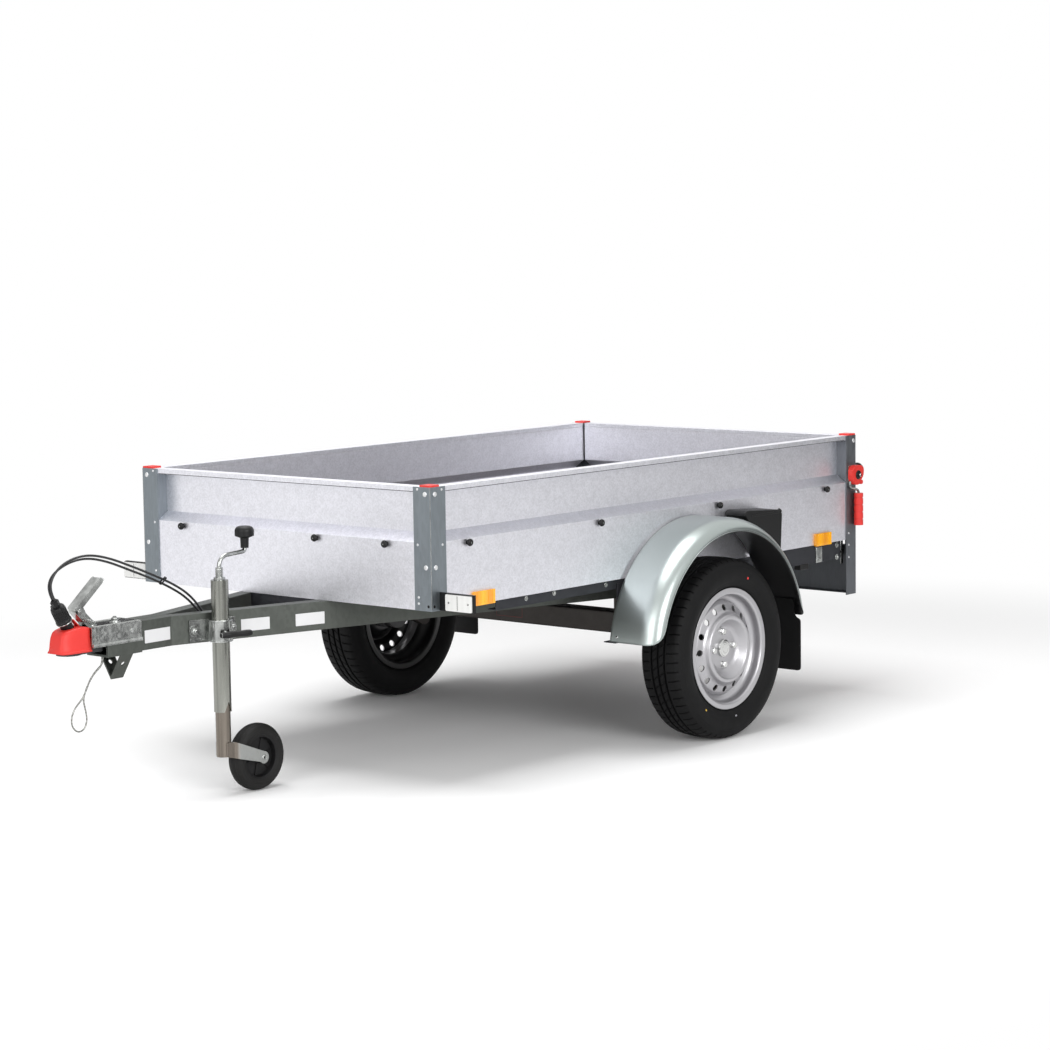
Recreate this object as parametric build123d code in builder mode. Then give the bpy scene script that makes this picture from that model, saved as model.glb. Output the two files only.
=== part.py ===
"""Flat-bed utility trailer with a V drawbar, a drop tailgate and a jockey wheel.

Frame: +X forward to the coupling, +Y to the left, +Z up, floor at Z = 0.
All lengths are in millimetres.
"""
from build123d import *
from math import atan2, cos, degrees, hypot, pi, radians, sin, tan
import os

os.makedirs("parts", exist_ok=True)

LEFT = 1
RIGHT = -1
SIDES = (("left", LEFT), ("right", RIGHT))

# ---------------------------------------------------------------- driving sizes
AXLE_X = -520.0                 # wheel centres
WHEEL_R = 272.0                 # outside of the tyre
TYRE_W = 155.0
RIM_R = 182.4                   # edge of a 13 inch rim
RIM_W = 126.0

BOX_FRONT = 629.0               # outer faces of the load box
BOX_REAR = -1422.0
BOX_HALF_W = 568.0
BOX_BASE = 506.0                # underside of the walls and the floor
BOX_TOP = 844.0
SHEET = 2.0                     # wall sheet
RAIL_H = 15.0                   # hollow top rail
RECESS = 35.0                   # upper field set back from the lower field
RAIL_W = RECESS + SHEET         # the rail reaches in to the set-back field's inner face
BAND_LOW = 692.0                # slanted band between the two fields
BAND_HIGH = 717.0
FLOOR_T = 9.0

POST_T = 3.0
POST_W = 62.0
REAR_POST_W = 54.0
REAR_POST_FACE = 40.0
REAR_POST_FOOT = 326.0
POST_CAP_H = 5.0

FRAME_TOP = BOX_BASE
SIDE_RAIL_H = 58.0
SIDE_RAIL_LOW_H = 30.0          # beside and ahead of the wheels
SIDE_RAIL_W = 30.0
SIDE_RAIL_Y = BOX_HALF_W - 12.0  # outer face
FRAME_T = 3.0

RIM_FACE_Y = BOX_HALF_W + 155.0  # outer edge of the rim from the middle plane
WHEEL_Y = RIM_FACE_Y - RIM_W / 2

BEAM_H = 80.0
BEAM_W = 40.0
BEAM_T = 3.0
BEAM_REAR = (-425.0, BOX_HALF_W - 88.0)  # outer corner line of the left beam, seen from above
BEAM_BEND = (1095.0, 39.0)
BEAM_FRONT = (1325.0, 38.0)

CLEAR = 0.3                     # between pieces of different bodies that nearly touch
GAP = 5.0                       # room round what moves


# ---------------------------------------------------------------- helpers
def offset_point(before, here, after, thickness):
    """Corner of a folded sheet's other face: the mitre point at `here`."""
    points = [p for p in (before, here, after) if p is not None]
    normals = []
    for start, end in zip(points, points[1:]):
        length = hypot(end[0] - start[0], end[1] - start[1])
        normals.append(((start[1] - end[1]) / length, (end[0] - start[0]) / length))
    if len(normals) == 1:
        normals = normals * 2
    (ax, ay), (bx, by) = normals
    scale = thickness / (1 + ax * bx + ay * by)
    return (here[0] + (ax + bx) * scale, here[1] + (ay + by) * scale)


def folded(points, thickness):
    """Closed outline of a sheet folded along `points`, thickened to their left."""
    ends = [None] + list(points) + [None]
    back = [
        offset_point(ends[i], ends[i + 1], ends[i + 2], thickness) for i in range(len(points))
    ]
    return list(points) + back[::-1]


def flipped(points, sign):
    """Points with the first coordinate on the given side."""
    return [(sign * a, b) for a, b in points]


def mirrored(points, sign):
    """Plan points with Y on the given side."""
    return [(a, sign * b) for a, b in points]


def along_x(x):
    """Sketch plane across the trailer at x: local axes are Y and Z, normal +X."""
    return Plane(origin=(x, 0, 0), x_dir=(0, 1, 0), z_dir=(1, 0, 0))


def along_y(y):
    """Sketch plane down the trailer at y: local axes are X and Z, normal -Y."""
    return Plane(origin=(0, y, 0), x_dir=(1, 0, 0), z_dir=(0, -1, 0))


def outward(x, y, z, side):
    """Sketch plane that faces away from the trailer's middle; its second axis is -side * Z."""
    return Plane(origin=(x, side * y, z), x_dir=(1, 0, 0), z_dir=(0, side, 0))


def finish(builder, name):
    """Label a finished piece and write its file."""
    builder.part.label = name
    export_step(builder.part, f"parts/{name}.step")


def outline(points):
    """Face with straight edges in the current sketch."""
    Polygon(*points, align=None)


def rounded(points, share=0.4):
    """Face in the current sketch whose corners are arcs over `share` of the shorter side."""
    corners = []
    for before, here, after in zip(points[-1:] + points[:-1], points, points[1:] + points[:1]):
        back = Vector(*before) - Vector(*here)
        ahead = Vector(*after) - Vector(*here)
        cut = share * min(back.length, ahead.length)
        half_angle = radians(back.get_angle(ahead)) / 2
        toward = (back.normalized() + ahead.normalized()).normalized()
        reach = cut / cos(half_angle) - cut * tan(half_angle)
        enter = Vector(*here) + back.normalized() * cut
        leave = Vector(*here) + ahead.normalized() * cut
        corners.append((enter, Vector(*here) + toward * reach, leave))
    with BuildSketch(mode=Mode.PRIVATE) as face:
        with BuildLine():
            for (enter, middle, leave), following in zip(corners, corners[1:] + corners[:1]):
                ThreePointArc(enter, middle, leave)
                Line(leave, following[0])
        make_face()
    add(face.sketch)


def prism(plane, points, amount):
    """Block with a straight-edged outline, to be added to the piece that is being built."""
    with BuildPart(mode=Mode.PRIVATE) as block:
        with BuildSketch(plane):
            Polygon(*points, align=None)
        extrude(amount=amount)
    return block.part


# ---------------------------------------------------------------- walls
POST_HOLE = RAIL_W              # square corner between two walls, inside the post
LIP_GAP = 0.5                   # between the rail's inner lip and the field below it


def wall_section(outer, base=BOX_BASE):
    """Sheet section of a wall whose lower field stands at `outer`, thickened inward."""
    recess = outer - RECESS
    line = [
        (outer, base),
        (outer, BAND_LOW),
        (recess, BAND_HIGH),
        (recess, BOX_TOP - RAIL_H),
        (outer, BOX_TOP - RAIL_H),
        (outer, BOX_TOP),
        (outer - RAIL_W, BOX_TOP),
        (outer - RAIL_W, BOX_TOP - RAIL_H + SHEET + LIP_GAP),
    ]
    return folded(line, SHEET)


SIDE_WALL_FRONT = BOX_FRONT - POST_HOLE
SIDE_WALL_REAR = BOX_REAR + POST_HOLE
for name, side in SIDES:
    with BuildPart() as side_wall:
        with BuildSketch(along_x(SIDE_WALL_REAR)):
            outline(flipped(wall_section(BOX_HALF_W), side))
        extrude(amount=SIDE_WALL_FRONT - SIDE_WALL_REAR)
    finish(side_wall, f"side_wall_{name}")

FRONT_WALL_HALF = BOX_HALF_W - POST_HOLE - CLEAR
with BuildPart() as front_wall:
    with BuildSketch(along_y(FRONT_WALL_HALF)):
        outline(wall_section(BOX_FRONT))
    extrude(amount=2 * FRONT_WALL_HALF)
finish(front_wall, "front_wall")

# ---------------------------------------------------------------- floor and frame
FLOOR_GAP = 1.0
REAR_RAIL_IN = 9.0
REAR_RAIL_X = BOX_REAR + REAR_RAIL_IN
with BuildPart() as floor:
    with BuildSketch(Plane.XY.offset(BOX_BASE)):
        with Locations(((BOX_FRONT - SHEET + REAR_RAIL_X) / 2, 0)):
            Rectangle(
                BOX_FRONT - SHEET - REAR_RAIL_X - FLOOR_GAP,
                2 * (BOX_HALF_W - SHEET) - FLOOR_GAP,
            )
    extrude(amount=FLOOR_T)
finish(floor, "floor")


def channel(width, height, thickness):
    """C section: web on the first axis' high side, open to the low side, top at 0."""
    line = [(0, 0), (width, 0), (width, -height), (0, -height)]
    return folded([(a, b) for a, b in line][::-1], thickness)


RAIL_START = BOX_REAR + REAR_POST_W + POST_T
RAIL_STEP = AXLE_X - 390.0
RAIL_END = 350.0
SIDE_RAIL_RUNS = (              # start, end, depth
    (RAIL_START, RAIL_STEP, SIDE_RAIL_H),
    (RAIL_STEP, RAIL_END, SIDE_RAIL_LOW_H),
)
with BuildPart() as side_rails:
    for _, side in SIDES:
        for start, end, depth in SIDE_RAIL_RUNS:
            section = [
                (side * (SIDE_RAIL_Y - SIDE_RAIL_W + a), FRAME_TOP + b)
                for a, b in channel(SIDE_RAIL_W, depth, FRAME_T)
            ]
            with BuildSketch(along_x(start)):
                outline(section)
            extrude(amount=end - start)
finish(side_rails, "side_rails")

# ---------------------------------------------------------------- drawbar
BEAM_LINE = [BEAM_FRONT, BEAM_BEND, BEAM_REAR]
BEAM_BASE = FRAME_TOP - BEAM_H
NOSE_HALF_GAP = 1.0


def beam_y(x):
    """Outer face of the left beam at x, on its long straight run."""
    (x0, y0), (x1, y1) = BEAM_REAR, BEAM_BEND
    return y0 + (y1 - y0) * (x - x0) / (x1 - x0)


for name, side in SIDES:
    with BuildPart() as beam:
        web = mirrored(folded(BEAM_LINE, BEAM_T), side)
        flange = mirrored(folded(BEAM_LINE, BEAM_W), side)
        for level, shape, height in (
            (BEAM_BASE, web, BEAM_H),
            (BEAM_BASE, flange, BEAM_T),
            (FRAME_TOP - BEAM_T, flange, BEAM_T),
        ):
            with BuildSketch(Plane.XY.offset(level)):
                outline(shape)
            extrude(amount=height)
        with BuildSketch(Plane.XY.offset(BEAM_BASE)):
            with Locations((BEAM_FRONT[0], side * (NOSE_HALF_GAP - BEAM_W / 2))):
                Rectangle(3 * (BEAM_FRONT[0] - BEAM_BEND[0]), BEAM_W)
        extrude(amount=BEAM_H, mode=Mode.SUBTRACT)
    finish(beam, f"drawbar_{name}")

CROSS_HALF = SIDE_RAIL_Y - SIDE_RAIL_W - CLEAR
FRONT_CROSS_HALF = 150.0        # only between the beams
FLOOR_CROSS_X = 60.0
CROSS_RAILS = (                 # x of the web's outer face, way the flanges point, half length, depth
    (BOX_FRONT - POST_T, -1, FRONT_CROSS_HALF, SIDE_RAIL_H),
    (FLOOR_CROSS_X, -1, CROSS_HALF, SIDE_RAIL_LOW_H),
    (RAIL_STEP, 1, CROSS_HALF, SIDE_RAIL_H),
    (REAR_RAIL_X, 1, CROSS_HALF, SIDE_RAIL_H),
)
BEAM_ROOM = 0.5
with BuildPart() as cross_rails:
    for x, way, half, depth in CROSS_RAILS:
        section = [
            (x + way * (SIDE_RAIL_W - a), FRAME_TOP + b)
            for a, b in channel(SIDE_RAIL_W, depth, FRAME_T)
        ]
        with BuildSketch(along_y(half)):
            outline(section)
        extrude(amount=2 * half)
    for _, side in SIDES:
        room = [(x, y + BEAM_ROOM) for x, y in BEAM_LINE]
        cutter = mirrored(folded(room, BEAM_W + 2 * BEAM_ROOM), side)
        with BuildSketch(Plane.XY.offset(BEAM_BASE)):
            outline(cutter)
        extrude(amount=BEAM_H, mode=Mode.SUBTRACT)
finish(cross_rails, "cross_rails")

# ---------------------------------------------------------------- corner posts
POST_TOP = BOX_TOP
CAP_CORNER_R = 4.0


def corner(x, y, sign_x, sign_y, span_x, span_y, base, top):
    """L-shaped folded post round an outer box corner."""
    line = [
        (x - sign_x * span_x, y + sign_y * POST_T),
        (x + sign_x * POST_T, y + sign_y * POST_T),
        (x + sign_x * POST_T, y - sign_y * span_y),
    ]
    if sign_x * sign_y > 0:
        line = line[::-1]
    add(prism(Plane.XY.offset(base), folded(line, POST_T), top - base))


def cheek_side(x, side):
    """Plate that closes the end of a side wall's set-back field."""
    shape = [
        (BOX_HALF_W, BAND_LOW),
        (BOX_HALF_W - RECESS, BAND_HIGH),
        (BOX_HALF_W - RECESS, BOX_TOP - RAIL_H),
        (BOX_HALF_W, BOX_TOP - RAIL_H),
    ]
    add(prism(along_x(x), flipped(shape, side), SHEET))


def cheek_front(y):
    """Plate that closes the end of the front wall's set-back field."""
    shape = [
        (BOX_FRONT, BAND_LOW),
        (BOX_FRONT - RECESS, BAND_HIGH),
        (BOX_FRONT - RECESS, BOX_TOP - RAIL_H),
        (BOX_FRONT, BOX_TOP - RAIL_H),
    ]
    add(prism(along_y(y), shape, SHEET))


with BuildPart() as front_posts:
    for _, side in SIDES:
        corner(BOX_FRONT, side * BOX_HALF_W, 1, side, POST_W - POST_T, POST_W - POST_T,
               BOX_BASE, POST_TOP)
        cheek_side(BOX_FRONT - POST_W + POST_T, side)
        cheek_front(side * (BOX_HALF_W - POST_W + POST_T) + SHEET / 2)
finish(front_posts, "front_posts")

with BuildPart() as rear_posts:
    for _, side in SIDES:
        corner(BOX_REAR, side * BOX_HALF_W, -1, side, REAR_POST_W - POST_T,
               REAR_POST_FACE - POST_T, REAR_POST_FOOT, POST_TOP)
        cheek_side(BOX_REAR + REAR_POST_W - POST_T - SHEET, side)
finish(rear_posts, "rear_posts")

CAP_W = POST_HOLE + POST_T
with BuildPart() as post_caps:
    for x in (BOX_FRONT + POST_T - CAP_W / 2, BOX_REAR - POST_T + CAP_W / 2):
        for _, side in SIDES:
            with BuildSketch(Plane.XY.offset(POST_TOP)):
                with Locations((x, side * (BOX_HALF_W + POST_T - CAP_W / 2))):
                    RectangleRounded(CAP_W, CAP_W, CAP_CORNER_R)
            extrude(amount=POST_CAP_H)
finish(post_caps, "post_caps")

# ---------------------------------------------------------------- tailgate
HINGE_X = BOX_REAR - 13.0
HINGE_Z = 494.0
HINGE_R = 8.0
PIN_R = 4.0
HINGE_YS = (-380.0, 0.0, 380.0)
HINGE_LEAF_W = 40.0
HINGE_LUG_T = 5.0
TAIL_HALF = BOX_HALF_W + POST_T - REAR_POST_FACE - GAP
TAIL_BASE = BOX_BASE + 2.0
SKIRT_TOP = 486.0
SKIRT_X = BOX_REAR              # rear face of the lamp carrier

with BuildPart() as tailgate:
    shape = [(2 * BOX_REAR - x, z) for x, z in wall_section(BOX_REAR, TAIL_BASE)]
    with BuildSketch(along_y(TAIL_HALF)):
        outline(shape)
    extrude(amount=2 * TAIL_HALF)
    tail_cheek = [
        (BOX_REAR, BAND_LOW),
        (BOX_REAR + RECESS, BAND_HIGH),
        (BOX_REAR + RECESS, BOX_TOP - RAIL_H),
        (BOX_REAR, BOX_TOP - RAIL_H),
    ]
    for y in (TAIL_HALF, SHEET - TAIL_HALF):
        with BuildSketch(along_y(y)):
            outline(tail_cheek)
        extrude(amount=SHEET)
    leaf = [
        (HINGE_X - HINGE_R, HINGE_Z),
        (HINGE_X + HINGE_R - 1.0, HINGE_Z + 4.0),
        (BOX_REAR, TAIL_BASE + 4.0),
        (BOX_REAR, TAIL_BASE + 44.0),
        (BOX_REAR - 4.0, TAIL_BASE + 44.0),
        (BOX_REAR - 4.0, TAIL_BASE + 14.0),
    ]
    for middle in HINGE_YS:
        with BuildSketch(along_y(middle + HINGE_LEAF_W / 2)):
            outline(leaf)
            with Locations((HINGE_X, HINGE_Z)):
                Circle(HINGE_R)
        extrude(amount=HINGE_LEAF_W)
        with BuildSketch(along_y(middle + HINGE_LEAF_W)):
            with Locations((HINGE_X, HINGE_Z)):
                Circle(PIN_R + CLEAR / 3)
        extrude(amount=2 * HINGE_LEAF_W, mode=Mode.SUBTRACT)
finish(tailgate, "tailgate")

LUG_GAP = 1.0
with BuildPart() as tailgate_hinges:
    for middle in HINGE_YS:
        reach = HINGE_LEAF_W / 2 + LUG_GAP + HINGE_LUG_T
        for y in (middle + reach, middle - reach + HINGE_LUG_T):
            with BuildSketch(along_y(y)):
                with Locations((HINGE_X, HINGE_Z)):
                    Circle(HINGE_R)
                outline([
                    (HINGE_X - HINGE_R, HINGE_Z),
                    (HINGE_X + HINGE_R, HINGE_Z),
                    (SKIRT_X, SKIRT_TOP - 2.0),
                    (SKIRT_X, SKIRT_TOP - 26.0),
                ])
            extrude(amount=HINGE_LUG_T)
        with BuildSketch(along_y(middle + reach)):
            with Locations((HINGE_X, HINGE_Z)):
                Circle(PIN_R)
        extrude(amount=2 * reach)
        with BuildSketch(along_y(middle + reach)):
            with Locations((SKIRT_X - 1.5, SKIRT_TOP - 15.0)):
                Rectangle(3.0, 26.0)
        extrude(amount=2 * reach)
finish(tailgate_hinges, "tailgate_hinges")

# ---------------------------------------------------------------- rear skirt and lamps
SKIRT_LINE = [
    (SKIRT_X + 22.0, REAR_POST_FOOT + 2.0),
    (SKIRT_X, REAR_POST_FOOT + 2.0),
    (SKIRT_X, SKIRT_TOP),
    (REAR_RAIL_X, SKIRT_TOP),
]
with BuildPart() as rear_skirt:
    with BuildSketch(along_y(BOX_HALF_W)):
        outline(folded(SKIRT_LINE[::-1], SHEET))
    extrude(amount=2 * BOX_HALF_W)
finish(rear_skirt, "rear_skirt")

LAMP_W = 200.0
LAMP_H = 120.0
LAMP_D = 50.0
LAMP_Y = TAIL_HALF - LAMP_W / 2
LAMP_Z = 394.0
LAMP_CORNER = 14.0
LAMP_EDGE = 8.0
with BuildPart() as tail_lamps:
    for _, side in SIDES:
        with BuildSketch(along_x(SKIRT_X - LAMP_D)):
            with Locations((side * LAMP_Y, LAMP_Z)):
                RectangleRounded(LAMP_W, LAMP_H, LAMP_CORNER)
        extrude(amount=LAMP_D)
    fillet(tail_lamps.faces().sort_by(Axis.X)[:2].edges(), LAMP_EDGE)
finish(tail_lamps, "tail_lamps")

PLATE_W = 520.0
PLATE_H = 110.0
PLATE_T = 4.0
PLATE_CORNER = 10.0
with BuildPart() as number_plate:
    with BuildSketch(along_x(SKIRT_X - PLATE_T)):
        with Locations((0, LAMP_Z)):
            RectangleRounded(PLATE_W, PLATE_H, PLATE_CORNER)
    extrude(amount=PLATE_T)
finish(number_plate, "number_plate")

# ---------------------------------------------------------------- latches and lashing knobs
LATCH_FACE_X = BOX_REAR - POST_T  # rear face of the post
LATCH_FACE_Y = BOX_HALF_W + POST_T  # its outer face
LATCH_Z = 716.0
LATCH_PLATE = (46.0, 62.0, 3.0)  # length, height, thickness
EYE_T = 19.0
EYE_SHAPE = [                   # from the post's rear edge, from the latch's middle
    (-15.0, -2.0),
    (-15.0, 22.0),
    (2.0, 31.0),
    (30.0, 31.0),
    (48.0, 18.0),
    (48.0, -14.0),
    (34.0, -32.0),
    (12.0, -32.0),
]
EYE_PIN_R = 6.0
EYE_PIN_X = 17.0
DISC_R = 24.0                   # round hook plate behind the post
DISC_T = 8.0
DISC_IN = 5.0                   # its middle, in from the post's outer face
DISC_Z = LATCH_Z + 12.0
DISC_OFF = 16.0
DISC_STEM_R = 9.0
DISC_STEM_IN = 19.0
ROD_R = 4.0
ROD_FRONT = (LATCH_FACE_X + 44.0, LATCH_FACE_Y + 8.0)  # X and Y where the rod leaves the eye
HANDLE_X = LATCH_FACE_X + 8.5
HANDLE_Y = LATCH_FACE_Y + 17.0
HANDLE_TOP = 656.0
HANDLE_LENGTH = 104.0
HANDLE_R = 15.0
HANDLE_RIBS = 4
RIB_T = 4.0
RIB_R = HANDLE_R - 2.0
ROD_STEP = 20.0                 # the rod's bend, above the handle
ROD_SINK = 12.0                 # how far the rod goes into the eye and the handle

KNOB_Z = 681.0
KNOB_R = 9.0
KNOB_STEM_R = 4.5
KNOB_STEM = 6.0
KNOB_HEAD = 7.0
KNOB_CROWN = 3.0                # rounded-off end of the head
KNOB_TAPER = 45.0
SIDE_KNOBS = (479.0, -98.5, -676.0, -1253.5)
FRONT_KNOBS = (-405.0, -137.0, 137.0, 405.0)
KNOB_PLACES = (
    [Plane(origin=(x, side * BOX_HALF_W, KNOB_Z), z_dir=(0, side, 0))
     for x in SIDE_KNOBS for _, side in SIDES]
    + [Plane(origin=(BOX_FRONT, y, KNOB_Z), z_dir=(1, 0, 0)) for y in FRONT_KNOBS]
)
with BuildPart() as lash_knobs:
    for place in KNOB_PLACES:
        with BuildSketch(place):
            Circle(KNOB_STEM_R)
        extrude(amount=KNOB_STEM)
        with BuildSketch(place.offset(KNOB_STEM)):
            Circle(KNOB_R)
        extrude(amount=KNOB_HEAD)
        with BuildSketch(place.offset(KNOB_STEM + KNOB_HEAD)):
            Circle(KNOB_R)
        extrude(amount=KNOB_CROWN, taper=KNOB_TAPER)
finish(lash_knobs, "lash_knobs")

# ---------------------------------------------------------------- drawbar nose and coupling
NOSE_REAR = 1205.0
NOSE_T = 3.0
NOSE_ROOM = 1.5
NOSE_HALF_W = BEAM_FRONT[1] + NOSE_ROOM + NOSE_T
NOSE_SIDE_TOP = 455.0
nose_line = [
    (-NOSE_HALF_W, NOSE_SIDE_TOP),
    (-NOSE_HALF_W, BEAM_BASE - NOSE_T),
    (NOSE_HALF_W, BEAM_BASE - NOSE_T),
    (NOSE_HALF_W, NOSE_SIDE_TOP),
]
STAND_X = 1238.0
STAND_W = 44.0
STAND_T = 4.0
STAND_FOOT = 355.0
STAND_HOLE_R = 6.5
STAND_HOLE_SHARE = 0.62         # of the way up the leg
stand_line = [
    (-NOSE_HALF_W, BEAM_BASE - NOSE_T),
    (0.0, STAND_FOOT),
    (NOSE_HALF_W, BEAM_BASE - NOSE_T),
]
with BuildPart() as support_bracket:
    with BuildSketch(along_x(STAND_X)):
        outline(folded(stand_line, STAND_T))
    extrude(amount=STAND_W)
    with BuildSketch(along_x(STAND_X)):
        with Locations((0, BEAM_BASE - NOSE_T + STAND_T)):
            Rectangle(4 * NOSE_HALF_W, 2 * STAND_T)
    extrude(amount=STAND_W, mode=Mode.SUBTRACT)
    lean = degrees(atan2(BEAM_BASE - NOSE_T - STAND_FOOT, NOSE_HALF_W))
    for _, side in SIDES:
        middle_y = side * NOSE_HALF_W * STAND_HOLE_SHARE
        middle_z = STAND_FOOT + STAND_HOLE_SHARE * (BEAM_BASE - NOSE_T - STAND_FOOT)
        tilt = radians(lean)
        drill = Plane(
            origin=(STAND_X + STAND_W / 2, middle_y, middle_z),
            x_dir=(1, 0, 0),
            z_dir=(0, -side * sin(tilt), cos(tilt)),
        )
        with BuildSketch(drill):
            Circle(STAND_HOLE_R)
        extrude(amount=4 * STAND_T, both=True, mode=Mode.SUBTRACT)
with BuildPart() as drawbar_nose:
    with BuildSketch(along_x(NOSE_REAR)):
        outline(folded(nose_line, NOSE_T))
    extrude(amount=BEAM_FRONT[0] - NOSE_REAR)

    add(support_bracket.part)
finish(drawbar_nose, "drawbar_nose")

HOUSING_REAR = 1205.0
HOUSING_FRONT = 1380.0
HOUSING_T = 3.5
HOUSING_ROOM = 1.0
HOUSING_HALF_W = BEAM_FRONT[1] + HOUSING_ROOM + HOUSING_T
HOUSING_BASE = 459.0
HOUSING_LIP = 5.0
housing_line = [
    (HOUSING_HALF_W + HOUSING_LIP, HOUSING_BASE),
    (HOUSING_HALF_W, HOUSING_BASE),
    (HOUSING_HALF_W, FRAME_TOP + HOUSING_T),
    (-HOUSING_HALF_W, FRAME_TOP + HOUSING_T),
    (-HOUSING_HALF_W, HOUSING_BASE),
    (-HOUSING_HALF_W - HOUSING_LIP, HOUSING_BASE),
]
HOUSING_TOP = FRAME_TOP + HOUSING_T
SOCKET_X = 1425.0
SOCKET_R = 25.5
SOCKET_WALL = 7.5
SOCKET_BASE = 440.0
SOCKET_TOP = 473.0
SOCKET_BLOCK_W = 50.0
SOCKET_BLOCK_REAR = HOUSING_FRONT - 50.0
with BuildPart() as coupling_body:
    with BuildSketch(along_x(HOUSING_REAR)):
        outline(folded(housing_line, HOUSING_T))
    extrude(amount=HOUSING_FRONT - HOUSING_REAR)
finish(coupling_body, "coupling_body")

with BuildPart() as ball_socket:
    with BuildSketch(Plane.XY.offset(SOCKET_BASE)):
        with Locations((SOCKET_X, 0)):
            Circle(SOCKET_R + SOCKET_WALL)
        with Locations(((SOCKET_X + SOCKET_BLOCK_REAR) / 2, 0)):
            Rectangle(SOCKET_X - SOCKET_BLOCK_REAR, SOCKET_BLOCK_W)
    extrude(amount=SOCKET_TOP + SOCKET_WALL - SOCKET_BASE)
    with BuildSketch(Plane.XY.offset(SOCKET_BASE)):
        with Locations((SOCKET_X, 0)):
            Circle(SOCKET_R)
    extrude(amount=SOCKET_TOP - SOCKET_BASE, mode=Mode.SUBTRACT)
finish(ball_socket, "ball_socket")

NOSE_TIP = 1472.0
CAP_BASE = 447.0
CAP_ROUND = 0.12
CAP_SECTIONS = (                # x, half width at the base, half width at the top, top
    (HOUSING_FRONT, 43.0, 35.0, 512.0),
    (HOUSING_FRONT + 26.0, 43.0, 32.0, 514.0),
    (NOSE_TIP - 22.0, 39.0, 27.0, 507.0),
    (NOSE_TIP - 9.0, 34.0, 22.0, 500.0),
    (NOSE_TIP, 28.0, 20.0, 466.0),
)
PLUG_TOP = (1470.0, 0.0, 590.0)
PLUG_TILT = 28.9                # of the plug's axis from upright, top leaning forward
PLUG_BODY_R = 20.5
PLUG_FOOT_R = 17.0
GLAND_R = 12.0
plug_sin = sin(radians(PLUG_TILT))
plug_cos = cos(radians(PLUG_TILT))


def plug_plane(depth):
    """Plane across the plug, `depth` below its top, normal pointing down the plug."""
    x, y, z = PLUG_TOP
    return Plane(
        origin=(x - depth * plug_sin, y, z - depth * plug_cos),
        x_dir=(0, 1, 0),
        z_dir=(-plug_sin, 0, -plug_cos),
    )


PLUG_STEPS = (                  # start depth, length, radius
    (0.0, 21.0, GLAND_R),
    (20.0, 50.0, PLUG_BODY_R),
    (64.0, 5.0, PLUG_BODY_R + 1.5),
    (69.0, 41.0, PLUG_FOOT_R),
)
with BuildPart() as coupling_nose:
    for x, half_base, half_top, top in CAP_SECTIONS:
        with BuildSketch(along_x(x)):
            rounded([
                (half_base, CAP_BASE),
                (half_top, top),
                (-half_top, top),
                (-half_base, CAP_BASE),
            ], CAP_ROUND)
    loft(ruled=True)
    with BuildSketch(Plane.XY.offset(SOCKET_BASE)):
        with Locations((SOCKET_X, 0)):
            Circle(SOCKET_R + SOCKET_WALL + CLEAR)
        with Locations(((SOCKET_X + SOCKET_BLOCK_REAR) / 2, 0)):
            Rectangle(SOCKET_X - SOCKET_BLOCK_REAR + CLEAR, SOCKET_BLOCK_W + 2 * CLEAR)
    extrude(amount=SOCKET_TOP + SOCKET_WALL + CLEAR - SOCKET_BASE, mode=Mode.SUBTRACT)
    foot_depth, foot_length, foot_r = PLUG_STEPS[-1]
    with BuildSketch(plug_plane(foot_depth)):
        Circle(foot_r + CLEAR)
    extrude(amount=foot_length + CLEAR, mode=Mode.SUBTRACT)
finish(coupling_nose, "coupling_nose")

with BuildPart() as plug:
    for depth, length, radius in PLUG_STEPS:
        with BuildSketch(plug_plane(depth)):
            Circle(radius)
        extrude(amount=length)
finish(plug, "plug")

LEVER_HALF_W = 17.0
LEVER_T = 3.0
STALK_HALF_W = 13.0
STALK_SHAPE = [                 # from the socket's middle, above the housing's top
    (-91.0, 0.0),
    (-55.0, 0.0),
    (-15.0, 42.5),
    (-19.0, 58.5),
    (-41.0, 58.5),
    (-53.0, 35.5),
]
LEVER_SHAPE = [
    (-13.0, 50.5),
    (-103.0, 125.5),
    (-117.0, 120.0),
    (-109.8, 110.3),
    (-25.8, 40.3),
]
LEVER_HOLLOW = [
    (-43.0, 43.5),
    (-25.0, 53.5),
    (-109.0, 123.0),
    (-135.0, 115.5),
    (-125.0, 95.5),
]


def on_housing(points):
    """Side view points placed over the coupling."""
    return [(SOCKET_X + x, HOUSING_TOP + z) for x, z in points]


with BuildPart() as coupling_handle:
    with BuildSketch(along_y(LEVER_HALF_W)):
        rounded(on_housing(LEVER_SHAPE))
    extrude(amount=2 * LEVER_HALF_W)
    with BuildSketch(along_y(LEVER_HALF_W - LEVER_T)):
        outline(on_housing(LEVER_HOLLOW))
    extrude(amount=2 * (LEVER_HALF_W - LEVER_T), mode=Mode.SUBTRACT)
    with BuildSketch(along_y(STALK_HALF_W)):
        rounded(on_housing(STALK_SHAPE), 0.2)
    extrude(amount=2 * STALK_HALF_W)
finish(coupling_handle, "coupling_handle")

# ---------------------------------------------------------------- axle
AXLE_BEAM_X = AXLE_X + 135.0
AXLE_BEAM_Z = 346.0
AXLE_BEAM_W = 60.0
AXLE_BEAM_H = 66.0
AXLE_BEAM_CORNER = 6.0
ARM_T = 25.0
ARM_Y = RIM_FACE_Y - 218.0
ARM_BIG_R = 36.0
ARM_SMALL_R = 28.0
ARM_NECK_R = 22.0
ARM_GAP = 5.0                   # from the beam's end to the trailing arm
AXLE_BEAM_HALF = ARM_Y - ARM_GAP
SPINDLE_R = 14.0
SPINDLE_END = RIM_FACE_Y - 45.0


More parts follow.
